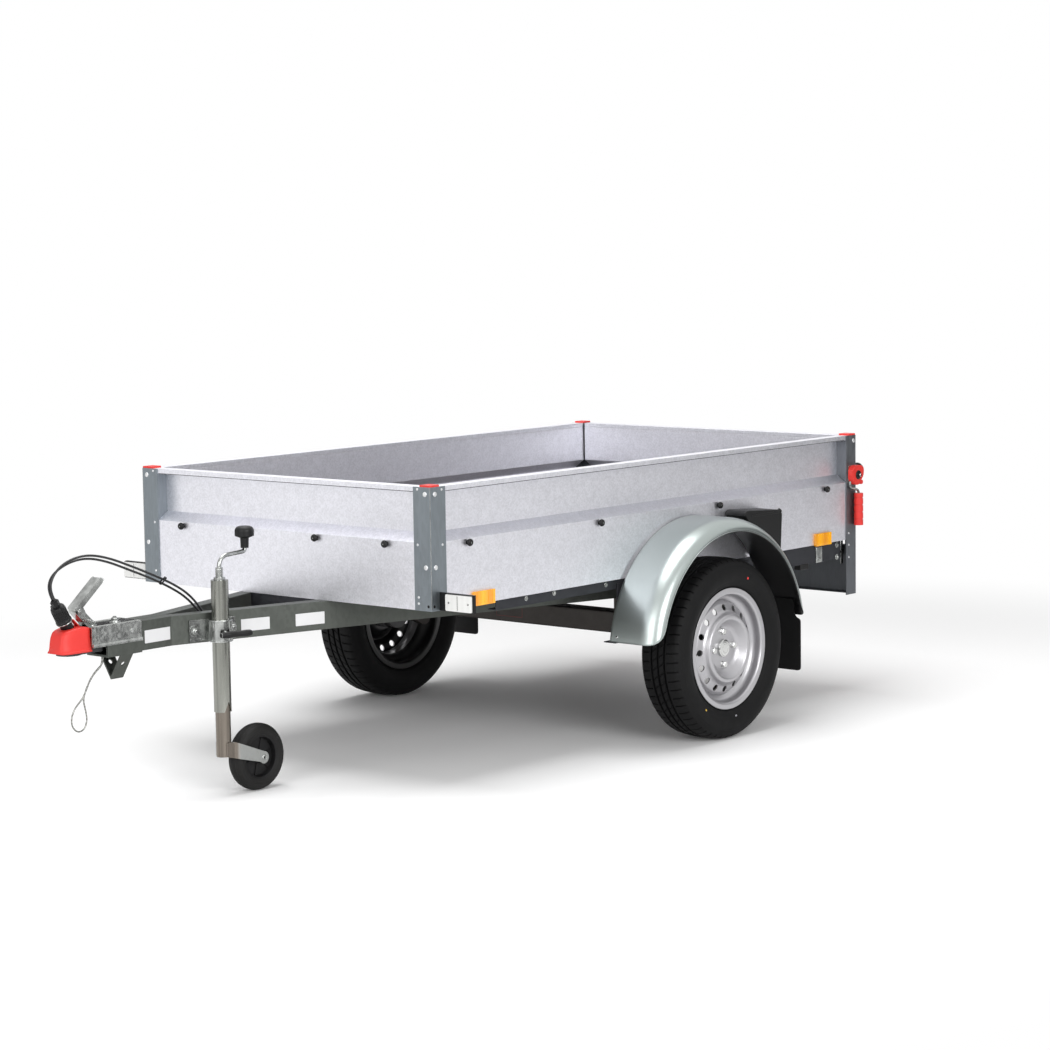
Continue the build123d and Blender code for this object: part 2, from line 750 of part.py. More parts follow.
arm_rise = AXLE_BEAM_Z - WHEEL_R
arm_length = hypot(AXLE_BEAM_X - AXLE_X, arm_rise)
across = (-arm_rise / arm_length, (AXLE_BEAM_X - AXLE_X) / arm_length)
arm_web = [
    (x + sign * radius * across[0], z + sign * radius * across[1])
    for x, z, radius, sign in (
        (AXLE_BEAM_X, AXLE_BEAM_Z, ARM_BIG_R, 1),
        (AXLE_X, WHEEL_R, ARM_SMALL_R, 1),
        (AXLE_X, WHEEL_R, ARM_SMALL_R, -1),
        (AXLE_BEAM_X, AXLE_BEAM_Z, ARM_BIG_R, -1),
    )
]
with BuildPart() as axle_beam:
    with BuildSketch(along_y(AXLE_BEAM_HALF)):
        with Locations((AXLE_BEAM_X, AXLE_BEAM_Z)):
            RectangleRounded(AXLE_BEAM_W, AXLE_BEAM_H, AXLE_BEAM_CORNER)
    extrude(amount=2 * AXLE_BEAM_HALF)
    for _, side in SIDES:
        for radius, x, z in ((ARM_BIG_R, AXLE_BEAM_X, AXLE_BEAM_Z), (ARM_SMALL_R, AXLE_X, WHEEL_R)):
            with BuildSketch(outward(x, ARM_Y, z, side)):
                Circle(radius)
            extrude(amount=ARM_T)
        with BuildSketch(along_y(side * (ARM_Y + ARM_T / 2) + ARM_T / 2)):
            outline(arm_web)
        extrude(amount=ARM_T)
        with BuildSketch(outward(AXLE_BEAM_X, AXLE_BEAM_HALF, AXLE_BEAM_Z, side)):
            Circle(ARM_NECK_R)
        extrude(amount=ARM_GAP)
        with BuildSketch(outward(AXLE_X, ARM_Y, WHEEL_R, side)):
            Circle(SPINDLE_R)
        extrude(amount=SPINDLE_END - ARM_Y)
finish(axle_beam, "axle_beam")

MOUNT_WALL = 5.0
MOUNT_LENGTH = 44.0
MOUNT_Y = beam_y(AXLE_BEAM_X) - 32.0
MOUNT_BASE = AXLE_BEAM_Z + AXLE_BEAM_H / 2
MOUNT_H = BEAM_BASE - MOUNT_BASE
with BuildPart() as axle_mounts:
    for _, side in SIDES:
        with BuildSketch(along_y(side * MOUNT_Y + MOUNT_LENGTH / 2)):
            with Locations((AXLE_BEAM_X, MOUNT_BASE + MOUNT_H / 2)):
                Rectangle(AXLE_BEAM_W, MOUNT_H)
                Rectangle(AXLE_BEAM_W - 2 * MOUNT_WALL, MOUNT_H - 2 * MOUNT_WALL, mode=Mode.SUBTRACT)
        extrude(amount=MOUNT_LENGTH)
finish(axle_mounts, "axle_mounts")

# ---------------------------------------------------------------- road wheels
WHEEL_AXIS = Axis((AXLE_X, 0, WHEEL_R), (0, 1, 0))
WHEEL_PLANE = Plane(origin=(AXLE_X, 0, WHEEL_R))
BEAD_R = 165.0
WELL_R = 140.0
RIM_T = 3.0
DISC_T = 4.0
HUB_R = 50.0
HUB_CAP_R = 26.0
VENTS = 16
VENT_RING_R = 123.0
VENT_R = 9.5

RIM_LINE = [                    # radius, distance inboard of the rim's outer edge
    (RIM_R, RIM_W - RIM_T),
    (BEAD_R, RIM_W - RIM_T),
    (BEAD_R, 92.0),
    (WELL_R, 80.0),
    (WELL_R, 45.0),
    (BEAD_R, 30.0),
    (BEAD_R, RIM_T),
    (RIM_R, RIM_T),
]
HUB_FACE = 31.0                 # the same distances: the disc's flat round the hub,
HUB_CAP_FACE = 18.0             # the cap's end
HUB_DEPTH = 100.0               # and the hub's inner end
CAP_EDGE = 3.0
DISC_LINE = [
    (WELL_R - RIM_T / 2, 62.0),
    (WELL_R - RIM_T / 2, 44.0),
    (134.0, 28.0),
    (112.0, 20.0),
    (105.0, 14.0),
    (99.0, 2.0),
    (91.0, 2.0),
    (74.0, 24.0),
    (64.0, HUB_FACE),
    (HUB_CAP_R - 4.0, HUB_FACE),
]
TYRE_OUTSIDE = [                # radius, distance from the tyre's middle plane
    (BEAD_R + 1.0, 56.0),
    (184.0, 58.5),
    (192.0, 67.0),
    (214.0, 76.0),
    (228.0, TYRE_W / 2),
    (244.0, 75.0),
    (260.0, 67.0),
    (268.0, 58.0),
    (WHEEL_R, 40.0),
]
TYRE_INSIDE = [
    (WHEEL_R - 16.0, 40.0),
    (250.0, 56.0),
    (228.0, 66.0),
    (200.0, 60.0),
    (BEAD_R + 1.0, 44.0),
]


RIM_CORNER = 0.35               # share of the shorter side that a pressed corner takes
hub_back = HUB_FACE + DISC_T / 2
hub_section = [
    (0, HUB_CAP_FACE),
    (HUB_CAP_R - CAP_EDGE, HUB_CAP_FACE),
    (HUB_CAP_R, HUB_CAP_FACE + CAP_EDGE),
    (HUB_CAP_R, hub_back),
    (HUB_R, hub_back),
    (HUB_R, HUB_DEPTH),
    (SPINDLE_R + CLEAR, HUB_DEPTH),
    (SPINDLE_R + CLEAR, RIM_FACE_Y - SPINDLE_END - 1.0),
    (0, RIM_FACE_Y - SPINDLE_END - 1.0),
]


def wheel_points(section, side):
    """Radius and Y of a section given as radius and distance inboard of the rim's edge."""
    return [(radius, side * (RIM_FACE_Y - inboard)) for radius, inboard in section]


for name, side in SIDES:
    with BuildPart() as rim:
        for section, share in (
            (folded(RIM_LINE, -RIM_T), RIM_CORNER),
            (folded(DISC_LINE, DISC_T), RIM_CORNER),
        ):
            with BuildSketch(WHEEL_PLANE):
                rounded(wheel_points(section, side), share)
            revolve(axis=WHEEL_AXIS)
        with BuildSketch(WHEEL_PLANE):
            outline(wheel_points(hub_section, side))
        revolve(axis=WHEEL_AXIS)
        with BuildSketch(outward(AXLE_X, RIM_FACE_Y, WHEEL_R, side)):
            with PolarLocations(VENT_RING_R, VENTS):
                Circle(VENT_R)
        extrude(amount=-HUB_DEPTH / 2, mode=Mode.SUBTRACT)
    finish(rim, f"rim_{name}")
    with BuildPart() as tyre:
        half_outside = [(r, WHEEL_Y + w) for r, w in TYRE_OUTSIDE]
        other_outside = [(r, WHEEL_Y - w) for r, w in reversed(TYRE_OUTSIDE)]
        half_inside = [(r, WHEEL_Y - w) for r, w in reversed(TYRE_INSIDE)]
        other_inside = [(r, WHEEL_Y + w) for r, w in TYRE_INSIDE]
        shape = half_outside + other_outside + half_inside + other_inside
        with BuildSketch(WHEEL_PLANE):
            outline([(r, side * y) for r, y in shape])
        revolve(axis=WHEEL_AXIS)
    finish(tyre, f"tyre_{name}")

# ---------------------------------------------------------------- fenders, flaps, chocks
FENDER_R = 392.0
FENDER_T = 2.0
FENDER_IN = BOX_HALF_W + 7.0
FENDER_OUT = FENDER_IN + 170.0
FENDER_LIP = 38.0
FENDER_CORNER = 46.0
FENDER_START = 8.5
crown_y = FENDER_OUT - FENDER_LIP
start = radians(FENDER_START)
fender_plane = Plane(
    origin=(AXLE_X, 0, WHEEL_R),
    x_dir=(cos(start), 0, sin(start)),
    z_dir=(-sin(start), 0, cos(start)),
)
with BuildPart() as fender_left:
    with BuildSketch(fender_plane):
        with BuildLine():
            Line((FENDER_R, FENDER_IN), (FENDER_R, crown_y))
            CenterArc((FENDER_R - FENDER_LIP, crown_y), FENDER_LIP, 0, 90)
            Line((FENDER_R - FENDER_LIP, FENDER_OUT), (FENDER_R - FENDER_LIP, FENDER_OUT - FENDER_T))
            CenterArc((FENDER_R - FENDER_LIP, crown_y), FENDER_LIP - FENDER_T, 0, 90)
            Line((FENDER_R - FENDER_T, crown_y), (FENDER_R - FENDER_T, FENDER_IN))
            Line((FENDER_R - FENDER_T, FENDER_IN), (FENDER_R, FENDER_IN))
        make_face()
    revolve(axis=Axis((AXLE_X, 0, WHEEL_R), (0, -1, 0)), revolution_arc=180 - 2 * FENDER_START)
    corner_z = WHEEL_R + (FENDER_R - FENDER_LIP) * sin(start) - 1.0
    with BuildSketch(along_x(AXLE_X - FENDER_R - 1.0)):
        with Locations((FENDER_OUT + 1.0 - FENDER_CORNER / 2, corner_z + FENDER_CORNER / 2)):
            Rectangle(FENDER_CORNER, FENDER_CORNER)
        with Locations((FENDER_OUT + 1.0 - FENDER_CORNER, corner_z + FENDER_CORNER)):
            Circle(FENDER_CORNER, mode=Mode.SUBTRACT)
    extrude(amount=2 * FENDER_R + 2.0, mode=Mode.SUBTRACT)
finish(fender_left, "fender_left")
with BuildPart() as fender_right:
    mirror(fender_left.part, about=Plane.XZ)
finish(fender_right, "fender_right")

FENDER_FOOT_Z = WHEEL_R + (FENDER_R - FENDER_T) * sin(start) - 0.5
STRUT_T = 3.0
STRUT_W = 52.0
STRUT_X = 330.0
STRUT_TOP = 492.0
STRUT_TIP = 18.0
FOOT_OUT = FENDER_IN + 25.0
with BuildPart() as fender_struts:
    for _, side in SIDES:
        for way in (1, -1):
            low = FENDER_FOOT_Z - STRUT_T
            strut = [
                (AXLE_X + way * STRUT_X, low),
                (AXLE_X + way * STRUT_X, STRUT_TOP),
                (AXLE_X + way * (STRUT_X - STRUT_W), STRUT_TOP),
                (AXLE_X + way * (STRUT_X - STRUT_TIP), low),
            ]
            with BuildSketch(along_y(side * (SIDE_RAIL_Y + STRUT_T / 2) + STRUT_T / 2)):
                outline(strut)
            extrude(amount=STRUT_T)
            with BuildSketch(Plane.XY.offset(low)):
                with Locations((
                    AXLE_X + way * (STRUT_X + FENDER_R - STRUT_TIP) / 2,
                    side * (SIDE_RAIL_Y + FOOT_OUT) / 2,
                )):
                    Rectangle(FENDER_R - STRUT_X + STRUT_TIP, FOOT_OUT - SIDE_RAIL_Y)
            extrude(amount=STRUT_T)
finish(fender_struts, "fender_struts")

FLAP_T = 4.0
FLAP_IN = FOOT_OUT + 2.0
FLAP_OUT = FENDER_OUT - 23.0
FLAP_BASE = 156.0
FLAP_TOP = 384.0
FLAP_NOTCH_Z = 320.0            # above this the flap is narrower, inside the fender's rounded edge
flap_back = ((FENDER_R - FENDER_T) ** 2 - (FLAP_TOP - WHEEL_R) ** 2) ** 0.5 - 0.1
flap_shape = [
    (FLAP_IN, FLAP_BASE),
    (FLAP_OUT, FLAP_BASE),
    (FLAP_OUT, FLAP_NOTCH_Z),
    (crown_y, FLAP_NOTCH_Z),
    (crown_y, FLAP_TOP),
    (FLAP_IN, FLAP_TOP),
]
with BuildPart() as mud_flaps:
    for _, side in SIDES:
        with BuildSketch(along_x(AXLE_X - flap_back)):
            outline(flipped(flap_shape, side))
        extrude(amount=FLAP_T)
finish(mud_flaps, "mud_flaps")

CHOCK_W = 78.0
CHOCK_SHAPE = [                 # from the wheel's centre line, height
    (-186.0, 654.0),
    (-204.0, 664.0),
    (-376.0, 652.0),
    (-386.0, 640.0),
    (-378.0, 516.0),
    (-316.0, 512.0),
]
with BuildPart() as wheel_chocks:
    for _, side in SIDES:
        with BuildSketch(along_y(side * (BOX_HALF_W + CHOCK_W / 2) + CHOCK_W / 2)):
            outline([(AXLE_X + x, z) for x, z in CHOCK_SHAPE])
        extrude(amount=CHOCK_W)
finish(wheel_chocks, "wheel_chocks")

# ---------------------------------------------------------------- marker lamps and reflectors
MARKER_X = 608.0
MARKER_Y = (BOX_HALF_W + 30.0, BOX_HALF_W + 124.0)
MARKER_Z = (509.0, 554.0)
MARKER_RIM = 2.5
MARKER_CORNER = 4.0
LENS_T = 8.0
HOLDER_T = 8.0
with BuildPart() as marker_holders:
    for _, side in SIDES:
        near = BOX_HALF_W + POST_T
        far = MARKER_Y[1] + MARKER_RIM
        with BuildSketch(along_x(MARKER_X - LENS_T - HOLDER_T)):
            with Locations((side * (near + far) / 2, sum(MARKER_Z) / 2)):
                Rectangle(far - near, MARKER_Z[1] - MARKER_Z[0] + 2 * MARKER_RIM)
        extrude(amount=HOLDER_T)
finish(marker_holders, "marker_holders")
with BuildPart() as marker_lamps:
    for _, side in SIDES:
        with BuildSketch(along_x(MARKER_X - LENS_T)):
            with Locations((side * sum(MARKER_Y) / 2, sum(MARKER_Z) / 2)):
                RectangleRounded(MARKER_Y[1] - MARKER_Y[0], MARKER_Z[1] - MARKER_Z[0], MARKER_CORNER)
        extrude(amount=LENS_T)
finish(marker_lamps, "marker_lamps")

REFLECTOR_W = 88.0
REFLECTOR_H = 40.0
REFLECTOR_T = 7.0
REFLECTOR_CORNER = 3.0
REFLECTOR_Z = 522.0
REFLECTOR_XS = (418.0, -1236.0)
with BuildPart() as side_reflectors:
    for x in REFLECTOR_XS:
        for _, side in SIDES:
            with BuildSketch(along_y(side * (BOX_HALF_W + REFLECTOR_T / 2) + REFLECTOR_T / 2)):
                with Locations((x, REFLECTOR_Z)):
                    RectangleRounded(REFLECTOR_W, REFLECTOR_H, REFLECTOR_CORNER)
            extrude(amount=REFLECTOR_T)
finish(side_reflectors, "side_reflectors")

# ---------------------------------------------------------------- bent rods
def round_run(points):
    """Straight runs with a tangent arc at each corner, as (kind, points) pairs, and radii."""
    vectors = [Vector(*p) for p in points]
    pieces = []
    radii = []
    at = vectors[0]
    for before, here, after in zip(vectors, vectors[1:], vectors[2:]):
        back = before - here
        ahead = after - here
        turn = 180 - back.get_angle(ahead)
        cut = 0.45 * min(back.length, ahead.length)
        radius = cut / tan(radians(turn) / 2)
        enter = here + back.normalized() * cut
        leave = here + ahead.normalized() * cut
        middle_way = (back.normalized() + ahead.normalized()).normalized()
        centre = here + middle_way * hypot(cut, radius)
        middle = centre - middle_way * radius
        pieces.append(("line", (at, enter)))
        pieces.append(("arc", (enter, middle, leave)))
        radii.append(radius)
        at = leave
    pieces.append(("line", (at, vectors[-1])))
    return pieces, radii


def bent_rod(points, radius):
    """Round rod along a route with rounded corners; returns the solid, its length and radii."""
    pieces, radii = round_run(points)
    with BuildPart(mode=Mode.PRIVATE) as rod:
        with BuildLine() as route:
            for kind, ends in pieces:
                if kind == "line":
                    Line(*ends)
                else:
                    ThreePointArc(*ends)
        start_way = Vector(*points[1]) - Vector(*points[0])
        with BuildSketch(Plane(origin=points[0], z_dir=start_way)):
            Circle(radius)
        sweep(path=route.wires()[0])
    return rod.part, route.wires()[0].length, radii


def latch_rod(side):
    """Bent rod between a latch's eye and its handle."""
    front_x, front_y = ROD_FRONT
    eye_base = LATCH_Z + min(z for _, z in EYE_SHAPE)
    return bent_rod([
        (front_x, side * front_y, eye_base + ROD_SINK),
        (front_x, side * front_y, HANDLE_TOP + ROD_STEP),
        (HANDLE_X, side * HANDLE_Y, HANDLE_TOP + ROD_STEP / 2),
        (HANDLE_X, side * HANDLE_Y, HANDLE_TOP - ROD_SINK),
    ], ROD_R)[0]


with BuildPart() as latch_rods:
    for _, side in SIDES:
        plate_l, plate_h, plate_t = LATCH_PLATE
        with BuildSketch(along_y(side * (LATCH_FACE_Y + plate_t / 2) + plate_t / 2)):
            with Locations((LATCH_FACE_X + plate_l / 2 + 1.0, LATCH_Z)):
                RectangleRounded(plate_l, plate_h, 4.0)
        extrude(amount=plate_t)
        with BuildSketch(along_x(LATCH_FACE_X - DISC_OFF - DISC_T)):
            with Locations((side * (LATCH_FACE_Y - DISC_IN), DISC_Z)):
                Circle(DISC_R)
        extrude(amount=DISC_T)
        with BuildSketch(along_x(LATCH_FACE_X - DISC_OFF)):
            with Locations((side * (LATCH_FACE_Y - DISC_STEM_IN), DISC_Z)):
                Circle(DISC_STEM_R)
        extrude(amount=DISC_OFF)
        add(latch_rod(side))
finish(latch_rods, "latch_rods")

with BuildPart() as latch_grips:
    for _, side in SIDES:
        with BuildSketch(outward(LATCH_FACE_X, LATCH_FACE_Y + LATCH_PLATE[2], LATCH_Z, side)):
            rounded([(x, -side * z) for x, z in EYE_SHAPE])
        extrude(amount=EYE_T)
        with BuildSketch(outward(LATCH_FACE_X, LATCH_FACE_Y + LATCH_PLATE[2], LATCH_Z, side)):
            with Locations((EYE_PIN_X, 0)):
                Circle(EYE_PIN_R)
        extrude(amount=EYE_T, mode=Mode.SUBTRACT)
        with BuildSketch(Plane(origin=(HANDLE_X, side * HANDLE_Y, HANDLE_TOP - HANDLE_LENGTH))):
            Circle(HANDLE_R)
        extrude(amount=HANDLE_LENGTH)
        for i in range(HANDLE_RIBS):
            level = HANDLE_TOP - HANDLE_LENGTH + (i + 0.75) * HANDLE_LENGTH / (HANDLE_RIBS + 0.5)
            with BuildSketch(Plane(origin=(HANDLE_X, side * HANDLE_Y, level))):
                Circle(HANDLE_R)
                Circle(RIB_R, mode=Mode.SUBTRACT)
            extrude(amount=RIB_T, mode=Mode.SUBTRACT)
        add(latch_rod(side), mode=Mode.SUBTRACT)
finish(latch_grips, "latch_grips")

# ---------------------------------------------------------------- jockey wheel
TUBE_R = 24.0
TUBE_WALL = 3.0
TUBE_BASE = 236.0
TUBE_TOP = 598.0
TUBE_CAP_T = 6.0
CLAMP_X = 968.5                 # on the left beam's outer face
TUBE_OFF = 34.0                 # tube axis from that face
beam_turn = atan2(BEAM_BEND[1] - BEAM_REAR[1], BEAM_BEND[0] - BEAM_REAR[0])
TUBE_X = CLAMP_X - TUBE_OFF * sin(beam_turn)
TUBE_Y = beam_y(CLAMP_X) + TUBE_OFF * cos(beam_turn)
NOTCH_W = 26.0
NOTCH_H = 30.0
SCREW_R = 8.0

with BuildPart() as jockey_tube:
    with BuildSketch(Plane.XY.offset(TUBE_BASE)):
        with Locations((TUBE_X, TUBE_Y)):
            Circle(TUBE_R)
            Circle(TUBE_R - TUBE_WALL, mode=Mode.SUBTRACT)
    extrude(amount=TUBE_TOP - TUBE_BASE)
    with BuildSketch(Plane.XY.offset(TUBE_TOP - TUBE_CAP_T)):
        with Locations((TUBE_X, TUBE_Y)):
            Circle(TUBE_R)
            Circle(SCREW_R + 1.0, mode=Mode.SUBTRACT)
    extrude(amount=TUBE_CAP_T)
    notch = [
        (TUBE_X - NOTCH_W / 2, TUBE_BASE - 1.0),
        (TUBE_X, TUBE_BASE + NOTCH_H),
        (TUBE_X + NOTCH_W / 2, TUBE_BASE - 1.0),
    ]
    with BuildSketch(along_y(TUBE_Y + 2 * TUBE_R)):
        outline(notch)
    extrude(amount=4 * TUBE_R, mode=Mode.SUBTRACT)
finish(jockey_tube, "jockey_tube")

CLAMP_BASE = 430.0
CLAMP_H = 60.0
CLAMP_PLATE_L = 140.0
CLAMP_PLATE_T = 6.0
CLAMP_PLATE_AHEAD = 10.0
CLAMP_BRIDGE_L = 40.0
CLAMP_WALL = 8.0
CLAMP_SCREW_R = 6.0
CLAMP_SCREW_L = 24.0
CLAMP_SCREW_Z = 24.0            # above the clamp's base
GRIP_R = 7.0
GRIP_L = 90.0
GRIP_BACK = 62.0
clamp_plane = Plane(
    origin=(CLAMP_X, beam_y(CLAMP_X), CLAMP_BASE),
    x_dir=(cos(beam_turn), sin(beam_turn), 0),
    z_dir=(0, 0, 1),
)
with BuildPart() as jockey_clamp:
    with BuildSketch(clamp_plane):
        with Locations((CLAMP_PLATE_AHEAD, CLAMP_PLATE_T / 2)):
            Rectangle(CLAMP_PLATE_L, CLAMP_PLATE_T)
        with Locations((0, CLAMP_PLATE_T / 2 + TUBE_OFF / 2)):
            Rectangle(CLAMP_BRIDGE_L, TUBE_OFF - CLAMP_PLATE_T)
        with Locations((0, TUBE_OFF)):
            Circle(TUBE_R + CLAMP_WALL)
            Circle(TUBE_R, mode=Mode.SUBTRACT)
    extrude(amount=CLAMP_H)
    handle_plane = Plane(
        origin=clamp_plane.from_local_coords((0, TUBE_OFF + TUBE_R + CLAMP_WALL, CLAMP_SCREW_Z)),
        z_dir=(-sin(beam_turn), cos(beam_turn), 0),
        x_dir=(cos(beam_turn), sin(beam_turn), 0),
    )
    with BuildSketch(handle_plane):
        Circle(CLAMP_SCREW_R)
    extrude(amount=CLAMP_SCREW_L)
    bar_plane = Plane(
        origin=handle_plane.from_local_coords((-GRIP_BACK, 0, CLAMP_SCREW_L)),
        z_dir=(cos(beam_turn), sin(beam_turn), 0),
    )
    with BuildSketch(bar_plane):
        Circle(GRIP_R)
    extrude(amount=GRIP_L)
finish(jockey_clamp, "jockey_clamp")

SCREW_BASE = 290.0
CRANK_Z = 662.0
KNOB_X = TUBE_X - 98.0
CRANK_ROD_R = 6.0
CRANK_RISE = 5.0                # of the arm from the screw to the knob
CRANK_FLANGE = (16.0, 6.0)      # radius, thickness
COLLAR_R = 10.0
COLLAR_H = 34.0
CRANK_KNOB_BASE = 676.0
KNOB_SINK = 12.0                # how far the rod goes up into the knob
KNOB_BORE_R = CRANK_ROD_R + CLEAR
KNOB_NECK_LOW_R = 11.0
KNOB_NECK_R = 12.0
KNOB_NECK_H = 27.0
KNOB_HEAD_BASE = 33.0
KNOB_HEAD_R = 26.5
KNOB_HEAD_Z = 46.0              # top of the head's upright side above the knob's base
KNOB_ROUND_R = 14.0
with BuildPart() as jockey_crank:
    with BuildSketch(Plane.XY.offset(SCREW_BASE)):
        with Locations((TUBE_X, TUBE_Y)):
            Circle(SCREW_R)
    extrude(amount=TUBE_TOP - SCREW_BASE)
    with BuildSketch(Plane.XY.offset(TUBE_TOP)):
        with Locations((TUBE_X, TUBE_Y)):
            Circle(COLLAR_R)
    extrude(amount=COLLAR_H)
    with BuildSketch(Plane.XY.offset(TUBE_TOP)):
        with Locations((TUBE_X, TUBE_Y)):
            Circle(CRANK_FLANGE[0])
    extrude(amount=CRANK_FLANGE[1])
    crank_rod, crank_length, crank_radii = bent_rod([
        (TUBE_X, TUBE_Y, TUBE_TOP),
        (TUBE_X, TUBE_Y, CRANK_Z),
        (KNOB_X, TUBE_Y, CRANK_Z + CRANK_RISE),
        (KNOB_X, TUBE_Y, CRANK_KNOB_BASE + KNOB_SINK),
    ], CRANK_ROD_R)
    add(crank_rod)
finish(jockey_crank, "jockey_crank")

with BuildPart() as crank_knob:
    knob_middle = KNOB_HEAD_R - KNOB_ROUND_R
    knob_top = KNOB_HEAD_Z + KNOB_ROUND_R
    knob_foot = Plane(
        origin=(KNOB_X, TUBE_Y, CRANK_KNOB_BASE), x_dir=(1, 0, 0), z_dir=(0, -1, 0)
    )
    with BuildSketch(knob_foot):
        with BuildLine():
            Polyline(
                (KNOB_BORE_R, 0),
                (KNOB_NECK_LOW_R, 0),
                (KNOB_NECK_R, KNOB_NECK_H),
                (KNOB_HEAD_R, KNOB_HEAD_BASE),
                (KNOB_HEAD_R, KNOB_HEAD_Z),
            )
            CenterArc((knob_middle, KNOB_HEAD_Z), KNOB_ROUND_R, 0, 90)
            Polyline(
                (knob_middle, knob_top),
                (0, knob_top),
                (0, KNOB_SINK + CLEAR),
                (KNOB_BORE_R, KNOB_SINK + CLEAR),
                (KNOB_BORE_R, 0),
            )
        make_face()
    revolve(axis=Axis((KNOB_X, TUBE_Y, 0), (0, 0, 1)))
finish(crank_knob, "crank_knob")

LEG_R = TUBE_R - TUBE_WALL - CLEAR
LEG_BORE_R = 17.0
LEG_BASE = 112.0
NUT_H = 16.0
SLIDE_UP = 80.0                 # travel of the leg upward from where it stands
LEG_TOP = TUBE_TOP - TUBE_CAP_T - SLIDE_UP - NUT_H - 2.0
with BuildPart() as jockey_nut:
    with BuildSketch(Plane.XY.offset(LEG_TOP + CLEAR)):
        with Locations((TUBE_X, TUBE_Y)):
            Circle(LEG_R)
            Circle(SCREW_R + CLEAR, mode=Mode.SUBTRACT)
    extrude(amount=NUT_H)
finish(jockey_nut, "jockey_nut")

JOCKEY_WHEEL_R = 93.0
JOCKEY_WHEEL_W = 50.0
JOCKEY_WHEEL_X = TUBE_X - 122.0
FORK_ROOM = 2.5                 # between the wheel and an arm
FORK_IN = JOCKEY_WHEEL_W / 2 + FORK_ROOM
FORK_T = 4.5
FORK_OUT = FORK_IN + FORK_T
FORK_TOP = 150.0
FORK_END_R = 17.0
FORK_TAIL = 6.0                 # arm's rear end, behind the leg's middle
FORK_LINE = [                   # arm's outer face seen from above, from the leg's middle
    (FORK_TAIL, 23.2),
    (-18.0, 23.2),
    (-31.0, FORK_OUT),
    (JOCKEY_WHEEL_X - FORK_END_R - TUBE_X, FORK_OUT),
]
FORK_SHAPE = [                  # side view
    (TUBE_X + FORK_TAIL, LEG_BASE),
    (TUBE_X + FORK_TAIL, FORK_TOP),
    (TUBE_X - LEG_R, FORK_TOP),
    (JOCKEY_WHEEL_X - 4.0, JOCKEY_WHEEL_R + 16.0),
    (JOCKEY_WHEEL_X - 4.0, JOCKEY_WHEEL_R - 15.0),
]
PIVOT_R = 6.0
with BuildPart() as fork_arms:
    for _, side in SIDES:
        arm = mirrored(folded(FORK_LINE, FORK_T), side)
        with BuildSketch(Plane.XY):
            outline([(TUBE_X + x, TUBE_Y + y) for x, y in arm])
        extrude(amount=FORK_TOP)
    with BuildSketch(along_y(TUBE_Y + FORK_OUT)):
        outline(FORK_SHAPE)
        with Locations((JOCKEY_WHEEL_X, JOCKEY_WHEEL_R)):
            Circle(FORK_END_R)
    extrude(amount=2 * FORK_OUT, mode=Mode.INTERSECT)
with BuildPart() as jockey_leg:
    with BuildSketch(Plane.XY.offset(LEG_BASE)):
        with Locations((TUBE_X, TUBE_Y)):
            Circle(LEG_R)
            Circle(LEG_BORE_R, mode=Mode.SUBTRACT)
    extrude(amount=LEG_TOP - LEG_BASE)
    add(fork_arms.part)
    with BuildSketch(along_y(TUBE_Y + FORK_OUT)):
        with Locations((JOCKEY_WHEEL_X, JOCKEY_WHEEL_R)):
            Circle(PIVOT_R)
    extrude(amount=2 * FORK_OUT)
finish(jockey_leg, "jockey_leg")

JOCKEY_RIM_R = 62.0
JOCKEY_AXIS = Axis((JOCKEY_WHEEL_X, TUBE_Y, JOCKEY_WHEEL_R), (0, 1, 0))
JOCKEY_PLANE = Plane(origin=(JOCKEY_WHEEL_X, TUBE_Y, JOCKEY_WHEEL_R))
half = JOCKEY_WHEEL_W / 2
with BuildPart() as jockey_tyre:
    with BuildSketch(JOCKEY_PLANE):
        outline([
            (JOCKEY_RIM_R, -half + 3.0),
            (78.0, -half),
            (87.0, -half + 4.0),
            (JOCKEY_WHEEL_R, -half + 13.0),
            (JOCKEY_WHEEL_R, half - 13.0),
            (87.0, half - 4.0),
            (78.0, half),
            (JOCKEY_RIM_R, half - 3.0),
        ])
    revolve(axis=JOCKEY_AXIS)
finish(jockey_tyre, "jockey_tyre")
with BuildPart() as jockey_hub:
    with BuildSketch(JOCKEY_PLANE):
        outline([
            (PIVOT_R + 0.1, -half),
            (16.0, -half),
            (18.0, -6.0),
            (52.0, -6.0),
            (56.0, -half + 6.0),
            (JOCKEY_RIM_R, -half + 4.0),
            (JOCKEY_RIM_R, half - 4.0),
            (56.0, half - 6.0),
            (52.0, 6.0),
            (18.0, 6.0),
            (16.0, half),
            (PIVOT_R + 0.1, half),
        ])
    revolve(axis=JOCKEY_AXIS)
finish(jockey_hub, "jockey_hub")

# ---------------------------------------------------------------- leads and safety cable
GUIDE_X = (884.0, 888.0)
GUIDE_Z = (446.0, 482.0)
GUIDE_IN = 2.0                  # its free end, from the middle plane
with BuildPart() as lead_guide:
    guide_y = beam_y(GUIDE_X[1]) - BEAM_T - CLEAR
    with BuildSketch(along_x(GUIDE_X[0])):
        with Locations(((GUIDE_IN + guide_y) / 2, sum(GUIDE_Z) / 2)):
            Rectangle(guide_y - GUIDE_IN, GUIDE_Z[1] - GUIDE_Z[0])
    extrude(amount=GUIDE_X[1] - GUIDE_X[0])
finish(lead_guide, "lead_guide")


